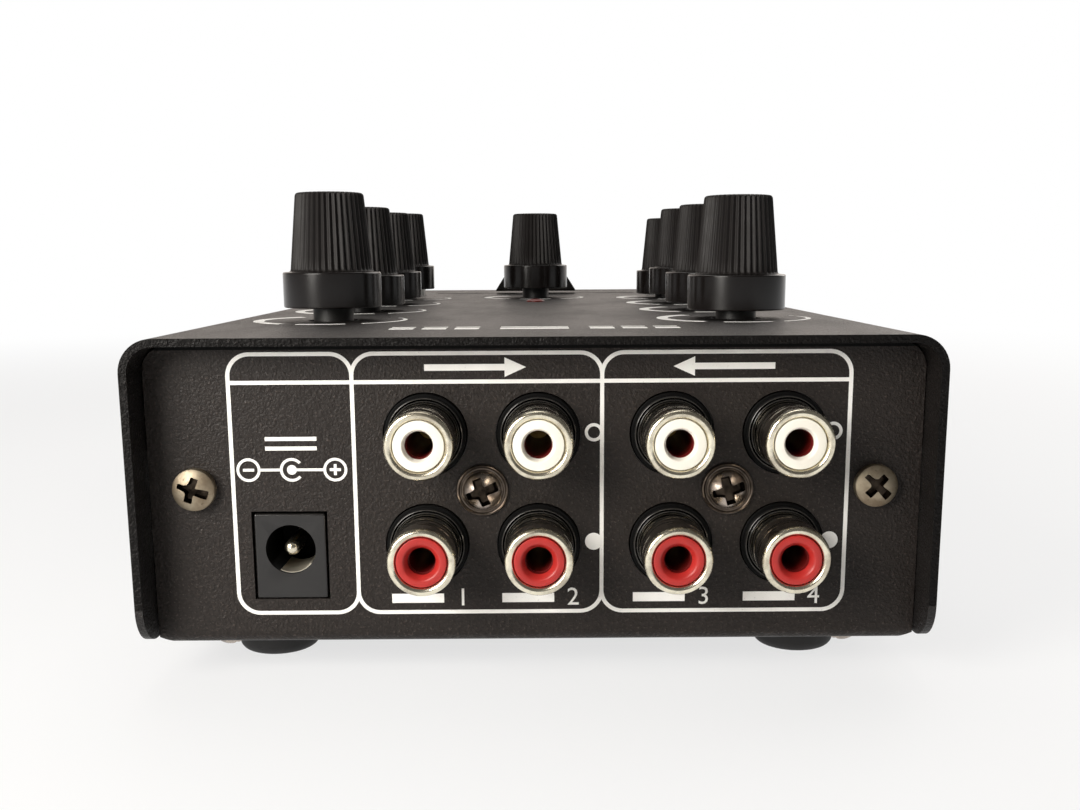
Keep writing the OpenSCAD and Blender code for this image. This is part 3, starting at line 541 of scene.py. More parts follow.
def piece(name, bm, finishes, body=CASE, instead_of=(), smooth=35.0):
    """Turns a bmesh into a finished object that rides on a body. Large flat faces stay flat."""
    mesh = bpy.data.meshes.new(name)
    bm.to_mesh(mesh)
    bm.free()
    if not mesh.polygons:
        raise RuntimeError(f"{name} came out empty")
    mesh.shade_smooth()
    mesh.set_sharp_from_angle(angle=math.radians(smooth))
    for finish in finishes:
        mesh.materials.append(FINISHES[finish])
    obj = bpy.data.objects.new(name, mesh)
    bpy.context.scene.collection.objects.link(obj)
    flatter = obj.modifiers.new("flat_faces", "WEIGHTED_NORMAL")
    flatter.keep_sharp = True
    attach(obj, body)
    if instead_of:
        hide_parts(*instead_of)
    return obj


def plate(outline, thickness):
    """A thin flat solid on Z = 0 from (x, y) points in mm."""
    bm = bmesh.new()
    face = bm.faces.new([bm.verts.new((x * MM, y * MM, 0.0)) for x, y in outline])
    return thicken(bm, [face], thickness)


def thicken(bm, faces, thickness):
    """Raises flat faces along Z into thin solids."""
    bmesh.ops.recalc_face_normals(bm, faces=faces)
    made = bmesh.ops.extrude_face_region(bm, geom=faces, use_keep_orig=True)["geom"]
    verts = [item for item in made if isinstance(item, bmesh.types.BMVert)]
    bmesh.ops.translate(bm, verts=verts, vec=(0, 0, thickness * MM))
    bmesh.ops.recalc_face_normals(bm, faces=bm.faces)
    return bm


def bar(width, height, thickness):
    half_w, half_h = width / 2, height / 2
    return plate([(-half_w, -half_h), (half_w, -half_h), (half_w, half_h), (-half_w, half_h)],
                 thickness)


def disc(radius, thickness):
    bm = bmesh.new()
    bmesh.ops.create_circle(bm, cap_ends=True, segments=24, radius=radius * MM)
    return thicken(bm, list(bm.faces), thickness)


def arrow(length, head, stem, thickness):
    """A plain arrow that points along +X, centred on the origin."""
    half, half_stem, half_head = length / 2, stem / 2, head / 2
    back = half - head * 1.1
    return plate([(-half, -half_stem), (back, -half_stem), (back, -half_head), (half, 0.0),
                  (back, half_head), (back, half_stem), (-half, half_stem)], thickness)


def arc_band(start, end, inner, outer, thickness, step=3.0):
    """A thin curved band from one angle to another, in degrees; its radii may vary along it."""
    count = max(2, round(abs(end - start) / step))
    turns = [start + (end - start) * k / count for k in range(count + 1)]
    bm = bmesh.new()
    inside = [bm.verts.new((inner(angle) * MM * math.cos(math.radians(angle)),
                            inner(angle) * MM * math.sin(math.radians(angle)), 0))
              for angle in turns]
    edges = [bm.edges.new(pair) for pair in zip(inside, inside[1:])]
    made = bmesh.ops.extrude_edge_only(bm, edges=edges)["geom"]
    fresh = [item for item in made if isinstance(item, bmesh.types.BMVert)]
    for vert in fresh:
        found = math.degrees(math.atan2(vert.co.y, vert.co.x))
        near = min(turns, key=lambda angle: abs((angle - found + 180) % 360 - 180))
        vert.co *= outer(near) / inner(near)
    return thicken(bm, list(bm.faces), thickness)


def hoop(inner, outer, thickness, start=0, end=360, step=12.0):
    """A thin flat ring, or the part of it between two angles."""
    return arc_band(start, end, lambda angle: inner, lambda angle: outer, thickness, step)


def rounded_frame(low, high, radius, line, thickness):
    """The outline of a rounded rectangle as a thin band of the given line width, in mm."""
    bm = bmesh.new()
    bmesh.ops.create_grid(bm, x_segments=1, y_segments=1, size=0.5)
    size = (high[0] - low[0] + line, high[1] - low[1] + line)
    middle = ((high[0] + low[0]) / 2, (high[1] + low[1]) / 2)
    bmesh.ops.scale(bm, vec=(size[0] * MM, size[1] * MM, 1), verts=bm.verts)
    bmesh.ops.translate(bm, vec=(middle[0] * MM, middle[1] * MM, 0), verts=bm.verts)
    bmesh.ops.bevel(
        bm, geom=list(bm.verts), offset=(radius + line / 2) * MM, offset_type="OFFSET",
        segments=10, profile=0.5, affect="VERTICES", material=-1)
    inner = list(bm.faces)
    bmesh.ops.inset_region(
        bm, faces=inner, thickness=line * MM, use_even_offset=True, use_boundary=True)
    bmesh.ops.delete(bm, geom=inner, context="FACES_ONLY")
    return thicken(bm, list(bm.faces), thickness)


def numeral(text, height, thickness):
    """Plain figures, centred on the origin of the XY plane."""
    curve = bpy.data.curves.new("figures", "FONT")
    curve.body = text
    curve.size = height * MM / 0.7
    curve.align_x = "CENTER"
    curve.align_y = "CENTER"
    curve.extrude = thickness * MM / 2
    curve.resolution_u = 3
    obj = bpy.data.objects.new("figures", curve)
    bpy.context.scene.collection.objects.link(obj)
    mesh = bpy.data.meshes.new_from_object(obj)
    bpy.data.objects.remove(obj)
    bpy.data.curves.remove(curve)
    bm = bmesh.new()
    bm.from_mesh(mesh)
    bpy.data.meshes.remove(mesh)
    bmesh.ops.remove_doubles(bm, verts=bm.verts, dist=1e-6)
    return moved(bm, shift(z=thickness / 2))


def cross_outline(length, width, wear):
    """The radius, for an angle, of a cross with rounded inner corners and unevenly worn arms."""
    eighth, tiny = math.pi / 4, 1e-6

    def radius(angle):
        uneven = 1.0 + wear * math.sin(3.0 * angle + 0.6)
        off = (angle - eighth) % (2 * eighth)
        off = min(off, 2 * eighth - off)
        corner = width * 0.14 * (off / eighth) ** 3
        side = width / 2 * uneven / max(math.sin(off), tiny) + corner
        reach = length / 2 * (1.0 - 0.3 * wear * math.sin(2.0 * angle))
        return min(reach / max(math.cos(off), tiny), side)
    return radius


def cross_head(diameter, height, shank, length=0.74, width=0.2, rise=0.62, wear=0.12):
    """A pan-head screw with a cross recess, whose floor has material 1: a near-black that paints
    the shade in the recess. It stands on Z = 0.

    The cross's length and width, and how much of the height the dome rises, are shares.
    """
    top, rise, stem = diameter / 2, height * rise, 1.45
    dome = (top * top + rise * rise) / (2 * rise)
    cross = cross_outline(diameter * length, diameter * width, wear)
    rim = max(0.9, length + 0.1) * top

    def dome_z(radius):
        return height - dome + math.sqrt(max(dome * dome - radius * radius, 0.0))

    def toward_cross(share):
        def shape(angle):
            radius = rim + (cross(angle) - rim) * share
            return radius, dome_z(radius)
        return shape

    def recess(scale, depth):
        return lambda angle: (cross(angle) * scale, dome_z(cross(angle)) - depth * height)

    rings = [ring(stem, -shank), ring(stem, 0.0), ring(top - 0.1, 0.0), ring(top, 0.1),
             ring(top, height - rise - 0.12), ring(top - 0.03, height - rise),
             ring(top * 0.96, dome_z(top * 0.96)), ring(rim, dome_z(rim))]
    rings += [toward_cross(share) for share in (0.2, 0.4, 0.6, 0.8, 0.93)]
    rings += [recess(scale, depth)
              for scale, depth in ((1.0, 0.0), (0.985, 0.035), (0.9, 0.22), (0.78, 0.5))]
    return mark(stacked(rings, 96), 1, lambda middle: from_axis(middle) < rim
                and 0.1 < middle.z < dome_z(from_axis(middle)) - 0.12 * height)


# ---- Pieces ----

def build_case(look):
    """The folded cover, whose ends take a darker copy of its paint as painted shade, and the
    chassis, whose rim under the cover's edge is a painted shadow.
    """
    radius = mm(look.edge_radius)
    low, high, _ = extent("top_cover")
    near = 0.02
    shell = soften(merged_copy("top_cover"), radius, 40.0, 3)
    # The cover's front and rear end faces get the darker copy of its paint: painted shade
    mark(shell, 1, lambda middle: middle.y > high.y - near or middle.y < low.y + near)
    piece("cover_shell", shell, ["cover_paint", "painted_shade_edge"], instead_of=["top_cover"])
    pan = soften(merged_copy("chassis"), radius * 0.7, 40.0, 2)
    # A strip along the top of the chassis, under the cover's edge, gets the near-black finish: a
    # painted shadow of the cover's overhang
    rim = extent("chassis")[1].z - mm(look.painted_shadow_rim)
    cut(pan, (0.0, 0.0, rim), (0.0, 0.0, 1.0))
    mark(pan, 1, lambda middle: middle.z > rim)
    piece("chassis_pan", pan, ["chassis_paint", "painted_shade_black"], instead_of=["chassis"])


def upright(x=0.0, y=PANEL_Y, z=0.0):
    """From a drawing's XY plane to the rear panel: its X runs to the viewer's right, and Y up."""
    return shift(x, y, z) @ Matrix(((-1, 0, 0, 0), (0, 0, 1, 0), (0, 1, 0, 0), (0, 0, 0, 1)))


def build_panel_print(look):
    """Lines and plain signs on the socket panel."""
    line, ink, corner = mm(look.line_width), mm(look.ink_thickness), 2.7
    # To the viewer's right of the middle, and up from the underside of the chassis, in mm
    uprights = (-37.7, -22.5, 8.3, 38.95)
    bottom, top, header, arrows, figures = 4.1, 37.0, 33.5, 35.25, 5.9
    upper_row, lower_row = 27.1, 13.2
    signs = [(rounded_frame((left, bottom), (right, top), corner, line, ink * (1 + 0.15 * k)),
              0.0, 0.0)
             for k, (left, right) in enumerate(zip(uprights, uprights[1:]))]
    signs.append((bar(uprights[-1] - uprights[0] - line, line, ink * 1.6),
                  (uprights[0] + uprights[-1]) / 2, header))
    for x, degrees in ((-7.3, 0), (23.3, 180)):
        signs.append((moved(arrow(12.5, 2.4, 0.8, ink), turn(degrees)), x, arrows))
    for text, x in (("1", -13.6), ("2", 0.4), ("3", 17.0), ("4", 31.0)):
        signs += [(numeral(text, 2.3, ink), x + 4.3, figures),
                  (bar(6.6, 1.2, ink), x - 1.4, figures)]
    for x in (7.3, 37.0):
        signs += [(hoop(0.75, 1.15, ink), x, upper_row), (disc(1.1, ink), x, lower_row)]
    signs += polarity_signs(ink)
    bm = together(moved(shape, shift(x, BASE_Z + z)) for shape, x, z in signs)
    bmesh.ops.recalc_face_normals(bm, faces=bm.faces)
    piece("panel_print", moved(bm, upright()), ["ink"])


def polarity_signs(ink):
    """The sign for a barrel plug whose centre is positive, and direct current's above it."""
    middle, level, aside = 0.6 - DC_X, 22.6, 5.4
    signs = [(hoop(1.15, 1.5, ink, 40, 320, 10.0), middle, level), (disc(0.62, ink), middle, level)]
    for x in (middle - aside, middle + aside):
        signs += [(hoop(1.15, 1.5, ink), x, level), (bar(1.4, 0.35, ink), x, level)]
    bars = ((0.35, 1.4, 1.1, aside, 0.0), (2.4, 0.35, 1.0, -2.7, 0.0),
            (3.4, 0.35, 1.1, 2.2, 0.0), (6.4, 0.5, 1.0, 0.0, 3.9), (6.4, 0.5, 1.0, 0.0, 2.7))
    return signs + [(bar(width, height, ink * coats), middle + x, level + z)
                    for width, height, coats, x, z in bars]


def build_dial_print(look):
    """The crescent scale around each knob, and a plain row of bars near the rear edge."""
    ink, start, travel, dot_out = mm(look.ink_thickness), 208, 300, 10.8
    arcs = ((200, 122), (108, 72), (58, -55))

    def growth(angle):
        """0 at the start of the scale and 1 at its end, clockwise."""
        return (start - angle) / travel

    def inner(angle):
        return 10.45 - 0.35 * growth(angle)

    def outer(angle):
        return 10.95 + 1.3 * growth(angle)

    dot = Vector((dot_out * math.cos(math.radians(start)), dot_out * math.sin(math.radians(start))))
    shapes = []
    for control in CONTROLS:
        middle = extent(control + "_knob")[2]
        for first, last in arcs:
            shapes.append(moved(arc_band(first, last, inner, outer, ink), shift(*middle.xy)))
        shapes.append(moved(disc(0.45, ink), shift(*(middle.xy + dot))))
    for x, width in ((-17.5, 3.2), (-13.2, 3.2), (-8.9, 3.2), (0.0, 9.0), (8.9, 3.2),
                     (13.2, 3.2), (17.5, 3.2)):
        for height, inset in ((2.4, 11.0), (0.7, 14.2)):
            shapes.append(moved(bar(width, height, ink), shift(x, PANEL_Y - inset)))
    piece("dial_print", moved(together(shapes), shift(z=TOP_Z)), ["ink"])


def knob_shape(look, height):
    """A knob that stands on Z = 0: a glossy skirt and a fluted, tapering grip."""
    skirt_h, half = mm(look.skirt_height), mm(look.skirt) / 2
    foot, top = mm(look.grip) / 2, mm(look.grip_top) / 2
    count, depth = look.flutes, mm(look.flute_depth)
    bore, bore_top, levels = 3.05, 12.0, 7
    grip_start = skirt_h + 0.45

    def fluted(radius, level, share=1.0):
        """A ring whose radius dips into a groove between each two ribs."""
        return lambda angle: (
            radius - depth * share * (0.5 - 0.5 * math.cos(angle * count)), level)

    rings = [ring(bore, bore_top), ring(bore, 0.0), ring(half - 0.25, 0.0), ring(half - 0.07, 0.07),
             ring(half, 0.25), ring(half, skirt_h - 0.26), ring(half - 0.04, skirt_h - 0.12),
             ring(half - 0.12, skirt_h - 0.04), ring(half - 0.26, skirt_h),
             ring(foot + 0.35, skirt_h + 0.05), ring(foot + 0.16, skirt_h + 0.1),
             fluted(foot + 0.05, skirt_h + 0.22, 0.5)]
    for k in range(levels + 1):
        share = k / levels
        rings.append(fluted(foot + (top - foot) * share,
                            grip_start + (height - 0.55 - grip_start) * share))
    rings += [fluted(top - 0.04, height - 0.32), fluted(top - 0.14, height - 0.15),
              fluted(top - 0.3, height - 0.04, 0.95), fluted(top - 0.5, height, 0.8),
              ring(top - 1.1, height), ring(top - 1.7, height - 0.1), ring(1.2, height - 0.16)]
    return mark(stacked(rings, count * 8), 2, lambda middle: middle.z < skirt_h + 0.15)


def pointer_shape(look, height):
    """A raised white line over the top of the grip and down its side."""
    top, foot = mm(look.grip_top) / 2, mm(look.grip) / 2
    wide, start, lowest, aim = 0.8, 1.4, 6.0, 240
    outline = [(start, height - 0.3), (top - 0.45, height - 0.3), (top - 0.25, height - 1.0),
               (foot - 0.3, lowest), (foot + 0.02, lowest), (top + 0.03, height - 0.95),
               (top - 0.18, height - 0.2), (top - 0.6, height), (start, height)]
    bm = bmesh.new()
    face = bm.faces.new([bm.verts.new((x * MM, 0.0, z * MM)) for x, z in outline])
    made = bmesh.ops.extrude_face_region(bm, geom=[face], use_keep_orig=True)["geom"]
    verts = [item for item in made if isinstance(item, bmesh.types.BMVert)]
    bmesh.ops.translate(bm, verts=verts, vec=(0, wide * MM, 0))
    bmesh.ops.translate(bm, verts=bm.verts, vec=(0, -wide / 2 * MM, 0))
    bmesh.ops.recalc_face_normals(bm, faces=bm.faces)
    return moved(soften(bm, 0.06, 20.0, 1), turn(aim))


def build_knobs(look):
    """A knob with its pointer for each control."""
    for control in CONTROLS:
        low, high, middle = extent(control + "_knob")
        height = high.z - low.z
        shape = joined((knob_shape(look, height), 0), (pointer_shape(look, height), 1))
        seat = low.z + SEATS.get(control, 0.0)
        piece(control + "_cap", moved(shape, shift(middle.x, middle.y, seat)),
              ["knob_black", "ink", "knob_gloss"], control, [control + "_knob"])


def phono_places(row):
    """The middles of the sockets of one row (1 upper, -1 lower), on the panel."""
    half = PHONO_PITCH / 2
    return [shift(x + side * half, PANEL_Y, PHONO_Z + row * half) @ TO_REAR
            for x in BLOCK_X for side in (-1, 1)]


def build_sockets(look):
    """Sleeves, insulators and their moulded collars."""
    everywhere = phono_places(1) + phono_places(-1)
    out = mm(look.socket_out)
    piece("sleeves", repeated(sleeve_shape(out), everywhere), ["bright_nickel", "sleeve_nickel_painted_shade"],
          instead_of=["socket_sleeves"])
    hole = mm(look.plug_hole) / 2
    for row, name, node, finish, dish in (
            (1, "upper_insulators", "white_insulators", "white_plastic", 2.0),
            (-1, "lower_insulators", "red_insulators", "red_plastic", 2.32)):
        insulator = insulator_shape(out - 0.25, hole, dish)
        piece(name, repeated(insulator, phono_places(row)), [finish, "dark_red_plastic"],
              instead_of=[node])
    for x, name, node in zip(BLOCK_X, ("output_collars", "input_collars"),
                             ("output_socket_block", "input_socket_block")):
        places = [place for place in everywhere if abs(mm(place.translation.x) - x) < PHONO_PITCH]
        block = block_with_painted_gap_shade(node, places)
        # The ridges' crests take the lighter grey as a painted highlight, and the groove takes the
        # near-black as painted shade
        piece(name, joined((block, 0), (repeated(collar_ridges(), places), 2)),
              ["socket_plastic", "painted_shade_black", "collar_painted_highlight"], instead_of=[node])


def sleeve_shape(out):
    """A sleeve with three fine grooves and a rolled lip. Its side and bore have material 1, a
    darker copy of its nickel as painted shade and dark reflection.
    """
    radius = 4.15
    profile = [(radius, -SOCKET_DEPTH)]
    for level, depth in ((3.7, 0.035), (5.3, 0.02), (6.5, 0.02)):
        profile += [(radius, level), (radius - depth, level + 0.04), (radius - depth, level + 0.12),
                    (radius, level + 0.16)]
    lip = ((0.0, 0.62), (0.05, 0.38), (0.17, 0.17), (0.34, 0.04), (0.52, 0.0), (0.70, 0.03),
           (0.87, 0.14), (1.0, 0.32), (1.05, 0.55))
    profile += [(radius - inset, out - drop) for inset, drop in lip]
    profile.append((profile[-1][0], -SOCKET_DEPTH))
    return mark(spun(profile, 72, True), 1, lambda middle: middle.z < out - 0.65)


def insulator_shape(face, hole, dish):
    """An insulator dished from one radius to the plug hole, whose lining has material 1: the red
    inside the hole, darkened as painted shade.
    """
    slope, outside, inside = dish - hole, 3.05, 2.35
    profile = [
        (outside, -SOCKET_DEPTH), (outside, face - 0.16), (2.99, face - 0.04), (2.88, face),
        (dish, face), (dish - 0.15 * slope, face - 0.04), (dish - 0.35 * slope, face - 0.14),
        (dish - 0.75 * slope, face - 0.58), (hole + 0.04, face - 0.78), (hole, face - 0.86),
        (hole, face - 1.55), (inside, face - 1.6), (inside, -SOCKET_DEPTH)]
    return mark(spun(profile, 72, True), 1,
                lambda middle: middle.z < face - 0.84 and from_axis(middle) < hole + 0.02)


def collar_ridges():
    """The two rounded ridges of a socket's collar, and the groove between them, whose faces have
    material 1 as painted shade.
    """
    profile = [
        (4.21, 0.4), (4.21, 0.98), (4.23, 1.05), (4.27, 1.08), (4.31, 1.05), (4.33, 0.98),
        (4.33, 0.7), (4.54, 0.7), (4.54, 0.9), (4.56, 0.97), (4.6, 1.0), (4.65, 0.97), (4.68, 0.88),
        (4.69, 0.4)]
    return mark(spun(profile, 72, True), 1, lambda middle: middle.z < 0.86)


def block_with_painted_gap_shade(node, places):
    """A socket block whose face has material 1 between the collars: near-black, as painted shade in
    the gaps round them.
    """
    collar_edge, face_level = 4.66, PANEL_Y - 0.5

    def on_face(vert):
        off = min(math.hypot(*(vert.co - place.translation).xz) for place in places) / MM
        return vert.co.y / MM > face_level and off > collar_edge

    block = soften(merged_copy(node), 0.14, 40.0, 2)
    for face in block.faces:
        if all(on_face(vert) for vert in face.verts):
            face.material_index = 1
    return block


def build_inlet():
    """The power inlet, with the outer contact that lines the bottom of its bore."""
    def off_axis(point):
        return math.hypot(point.x - DC_X, point.z - DC_Z)

    housing = soften(merged_copy("dc_inlet_housing"), 0.3, 40.0, 3, lambda edge: min(
        off_axis(vert.co / MM) for vert in edge.verts) > DC_BORE + 0.5)
    # Faces inside the bore get the near-black finish: painted shade in the bore
    mark(housing, 1,
         lambda middle: off_axis(middle) < DC_BORE + 0.3 and middle.y < PANEL_Y - 0.05)
    piece("dc_inlet_shell", housing, ["socket_plastic", "painted_shade_black"],
          instead_of=["dc_inlet_housing"])
    contact = hoop(DC_BORE - 0.12, DC_BORE - 0.02, 6.4, -118, -38, 4.0)
    piece("dc_outer_contact", moved(contact, upright(DC_X, PANEL_Y - 6.8, DC_Z)), ["satin_nickel"])


def build_screws():
    """The screws that show, with their cross recesses."""
    plain = ["warm_nickel", "recess_painted_shade"]
    panel_x, panel_z, side_x, side_z, side_inset = 42.4, BASE_Z + 20.3, 49.3, BASE_Z + 17.0, 5.5
    outer = []
    for side in (-1, 1):
        outer += [shift(side * panel_x, PANEL_Y, panel_z) @ TO_REAR @ turn(12 * side + 14),
                  shift(side * panel_x, FRONT_Y, panel_z) @ TO_FRONT @ turn(25 * side)]
    pan = cross_head(5.3, 1.9, 5.0, length=0.68, width=0.18, rise=0.4, wear=0.35)
    piece("panel_screw_heads", repeated(pan, outer), plain, instead_of=["panel_screws"])

    flank = [shift(side * side_x, y, side_z) @ aim @ turn(y * 3)
             for side, aim in ((-1, TO_LEFT), (1, TO_RIGHT))
             for y in (PANEL_Y - side_inset, FRONT_Y + side_inset)]
    piece("side_screw_heads", repeated(cross_head(5.3, 1.88, 4.0), flank), plain,
          instead_of=["side_screws"])

    washer_top = 0.5
    washer = spun([(1.5, 0.0), (3.25, 0.0), (3.25, 0.3), (3.18, 0.44), (3.04, washer_top),
                   (2.9, 0.44), (2.82, 0.34), (2.66, 0.34), (2.58, 0.46), (2.5, washer_top),
                   (1.5, washer_top)], 64, True)
    head = cross_head(4.8, 1.5, 7.5, length=0.8, width=0.23, rise=0.8, wear=0.22)
    # The foot of the head, next to the washer, takes the washer's finish: painted shade between
    # head and washer
    mark(moved(head, shift(z=washer_top)), 2,
         lambda middle: middle.z < 0.8 and from_axis(middle) > 2.2)
    block = repeated(joined((washer, 2), (head, 0)), [
        shift(x, PANEL_Y, PHONO_Z) @ TO_REAR @ turn(aim) for x, aim in zip(BLOCK_X, (65, 60))])
    piece("block_screw_heads", block, ["dark_nickel", "recess_painted_shade", "washer_black_and_painted_shade"],
          instead_of=["block_screws"])

    _, high, middle = extent("crossfader_screws")
    head_radius = 2.3
    fader = [shift(side * (high.x - head_radius), middle.y, TOP_Z) @ turn(30 * side)
             for side in (-1, 1)]
    piece("fader_screw_heads", repeated(cross_head(2 * head_radius, 1.5, 6.0), fader), plain,
          instead_of=["crossfader_screws"])


def build_crossfader():
    """The crossfader's cap, with a white line in the bottom of its finger hollow."""
    low, high, middle = extent("crossfader_cap")
    cap = soften(merged_copy("crossfader_cap"), 0.45, 25.0, 3)
    hollow_depth = (high.x - low.x) / 2 - 4.4
    line = moved(bar(0.9, high.y - low.y - 3.0, 0.05),
                 shift(middle.x, middle.y, high.z - hollow_depth))
    piece("crossfader_grip", joined((cap, 0), (line, 1)), ["knob_black", "ink"], "crossfader",
          ["crossfader_cap"])


def build_buttons():
    """The caps of the two cue buttons."""
    for name in ("cue_1", "cue_2"):
        button = soften(merged_copy(name + "_button"), 0.5, 40.0, 3)
        piece(name + "_cap", button, ["button_grey"], name, [name + "_button"])


def build_lamp():
    """The power lamp's domed lens."""
    low, high, middle = extent("power_lamp")
    radius, edge, dome = (high.x - low.x) / 2, 0.1, 0.5
    profile = [(0.0, -3.0), (radius, -3.0)]
    for degrees in range(0, 90, 15):
        angle = math.radians(degrees)
        profile.append((radius * math.cos(angle), edge + dome * math.sin(angle)))
    lens = spun(profile + [(0.0, edge + dome)], 40)
    piece("power_lamp_lens", moved(lens, shift(middle.x, middle.y, TOP_Z)), ["lamp_red"],
          instead_of=["power_lamp"])


def build_front_sockets():
    """The plug sockets on the user's side, with their threaded bushes and nuts."""
    level = extent("front_socket_nuts")[2].z
    bush, pitch, turns, root = 4.5, 0.35, 10, 0.945
    for node in ("headphone_socket", "microphone_socket"):
        low, _, middle = extent(node)
        bm = merged_copy(node)
        start = low.y + 0.5
        for k in range(turns):
            cut(bm, (0.0, start + k * pitch, 0.0), (0.0, 1.0, 0.0))
        for vert in bm.verts:
            off = Vector((vert.co.x / MM - middle.x, 0.0, vert.co.z / MM - level))
            step = (vert.co.y / MM - start) / pitch
            if (abs(off.length - bush) < 0.03 and -0.1 < step < turns - 0.9
                    and round(step) % 2 == 0):
                vert.co -= off * (1.0 - root) * MM
        soften(bm, 0.12, 50.0, 2, lambda edge: edge.calc_length() > 0.5 * MM)
        piece(node + "_body", bm, ["socket_plastic"], instead_of=[node])
    nuts = soften(merged_copy("front_socket_nuts"), 0.25, 40.0, 2)
    piece("front_nuts", nuts, ["bright_nickel"], instead_of=["front_socket_nuts"])


def build_carried_over():
    """Every CAD part gets the finish of its slot, and those that still show keep it."""
    for name, node in frame["nodes"].items():
        for place in node.material_slots:
            place.material = FINISHES[SLOTS[name]]


# ---- Stage ----

WHITE = (1.0, 1.0, 1.0)


def add_camera(look):
    """A camera before the rear panel that looks slightly down."""
    camera = bpy.data.cameras.new("camera")
    camera.sensor_width = 36.0
    camera.lens = look.lens
    camera.shift_x, camera.shift_y = -0.00257, 0.0537
    camera.clip_start = 0.01
    viewer = bpy.data.objects.new("camera", camera)
    bpy.context.scene.collection.objects.link(viewer)
    yaw, pitch, roll = math.pi - 0.00406, math.pi / 2 - 0.17872, -0.00557
    viewer.matrix_world = (
        shift(-0.37, 230.28, 53.03) @ Matrix.Rotation(yaw, 4, "Z")
        @ Matrix.Rotation(pitch, 4, "X") @ Matrix.Rotation(roll, 4, "Z"))
    bpy.context.scene.camera = viewer


def add_floor(look):
    """A pale floor that shows as white away from the object, and keeps the object's shadow."""
    finish = Finish("stage_floor", Roughness=0.6)
    cloud = finish.noise(400.0, 2.0).between(0.3, 0.7)
    finish.set(Base_Color=finish.blend(cloud, (0.80, 0.80, 0.80), (0.82, 0.82, 0.82)))
    glow = finish.node("ShaderNodeEmission", {}, {"Color": WHITE, "Strength": 1.0})
    camera, glossy, clear = finish.rays()
    away = finish.node("ShaderNodeVectorMath", {"operation": "LENGTH"}, {0: finish.place}, "Value")
    seen = (camera + glossy + clear) * away.between(0.2, 0.7, look.floor_glow, 1.0)
    finish.feed(finish.out.inputs[0], finish.node(
        "ShaderNodeMixShader", {}, {0: seen, 1: Tone(finish, finish.shader.outputs[0]), 2: glow}))
    bm = bmesh.new()
    bmesh.ops.create_grid(bm, x_segments=1, y_segments=1, size=6.0)
    mesh = bpy.data.meshes.new("floor")
    bm.to_mesh(mesh)
    bm.free()
    mesh.materials.append(finish.material)
    floor = bpy.data.objects.new("floor", mesh)
    bpy.context.scene.collection.objects.link(floor)


def add_lights(look):
    """Three round lamps that aim at the rear half of the object."""
    aim = Vector((0.0, 0.05, 0.02))
    for name, place, size, power, colour in (
            ("key_light", (0.19, 0.27, 0.14), 0.18, look.key_power, (1.0, 0.96, 0.90)),
            ("top_light", (0.05, -0.3, 0.9), 0.8, look.top_power, (1.0, 0.98, 0.95)),
            ("fill_light", (-0.55, -0.45, 0.4), 0.6, look.fill_power, (1.0, 0.97, 0.94))):
        light = bpy.data.lights.new(name, "AREA")
        light.shape = "DISK"
        light.size = size
        light.energy = power
        light.color = colour
        lamp = bpy.data.objects.new(name, light)
        bpy.context.scene.collection.objects.link(lamp)
        lamp.location = place
        lamp.visible_camera = False
        lamp.rotation_euler = (aim - Vector(place)).to_track_quat("-Z", "Y").to_euler()


def add_backdrop(look):
    """A dim warm world that shows as white, and whose far side shows in reflections too."""
    world = bpy.data.worlds.new("studio")
    bpy.context.scene.world = world
    sky = Shading(world)
    heading = sky.node("ShaderNodeTexCoord", output="Generated")
    behind = sky.node("ShaderNodeSeparateXYZ", {}, {0: heading}, "Y").between(-0.35, -0.8)
    camera, glossy, clear = sky.rays()
    dim = sky.node("ShaderNodeBackground", {},
                   {"Color": (1.0, 0.97, 0.93), "Strength": look.world_strength})
    backdrop = sky.node(
        "ShaderNodeMix", {"data_type": "RGBA"},
        {"Factor_Float": camera, "A_Color": (1.0, 0.90, 0.82), "B_Color": WHITE}, "Result_Color")
    white = sky.node("ShaderNodeBackground", {}, {"Color": backdrop, "Strength": 1.0})
    mixed = sky.node(
        "ShaderNodeMixShader", {}, {0: camera + (glossy + clear) * behind, 1: dim, 2: white})
    sky.node("ShaderNodeOutputWorld", {}, {0: mixed}, None)


def build_stage(look):
    """The camera, the floor, the lamps and the world."""
    bpy.context.scene.view_settings.view_transform = "Standard"
    add_camera(look)
    add_floor(look)
    add_lights(look)
    add_backdrop(look)


# ---- Properties ----

def size_property(name, description, default):
    """A length, given in mm and kept in metres."""
    return bpy.props.FloatProperty(
        name=name, description=description, default=default * MM, min=0.0, precision=5,
        subtype="DISTANCE", unit="LENGTH")


def colour_property(name, description, default):
    return bpy.props.FloatVectorProperty(
        name=name, description=description, default=default, subtype="COLOR", size=3, min=0.0,
        max=1.0)


def power_property(name, description, default):
    return bpy.props.FloatProperty(
        name=name, description=description, default=default, min=0.0, unit="POWER")


class MixerFinishes(bpy.types.PropertyGroup):
    """Colours and grain of the finishes."""
    # Cover and chassis carry one paint; these two colours are its shaded and lit copies, painting
    # the light on the cover and on the rear panel
    paint: colour_property("Cover paint", "Colour of the top cover", (0.0105, 0.0085, 0.0078))
    panel_paint: colour_property(
        "Chassis paint", "Colour of the chassis", (0.0235, 0.0187, 0.0164))
    coat_grain: size_property("Coat grain", "Size of the pimples of the powder coat", 0.34)
    knob_colour: colour_property("Knobs", "Colour of the knobs", (0.0085, 0.0066, 0.0061))
    ink: colour_property("Ink", "Colour of the printed lines", (0.97, 0.965, 0.94))


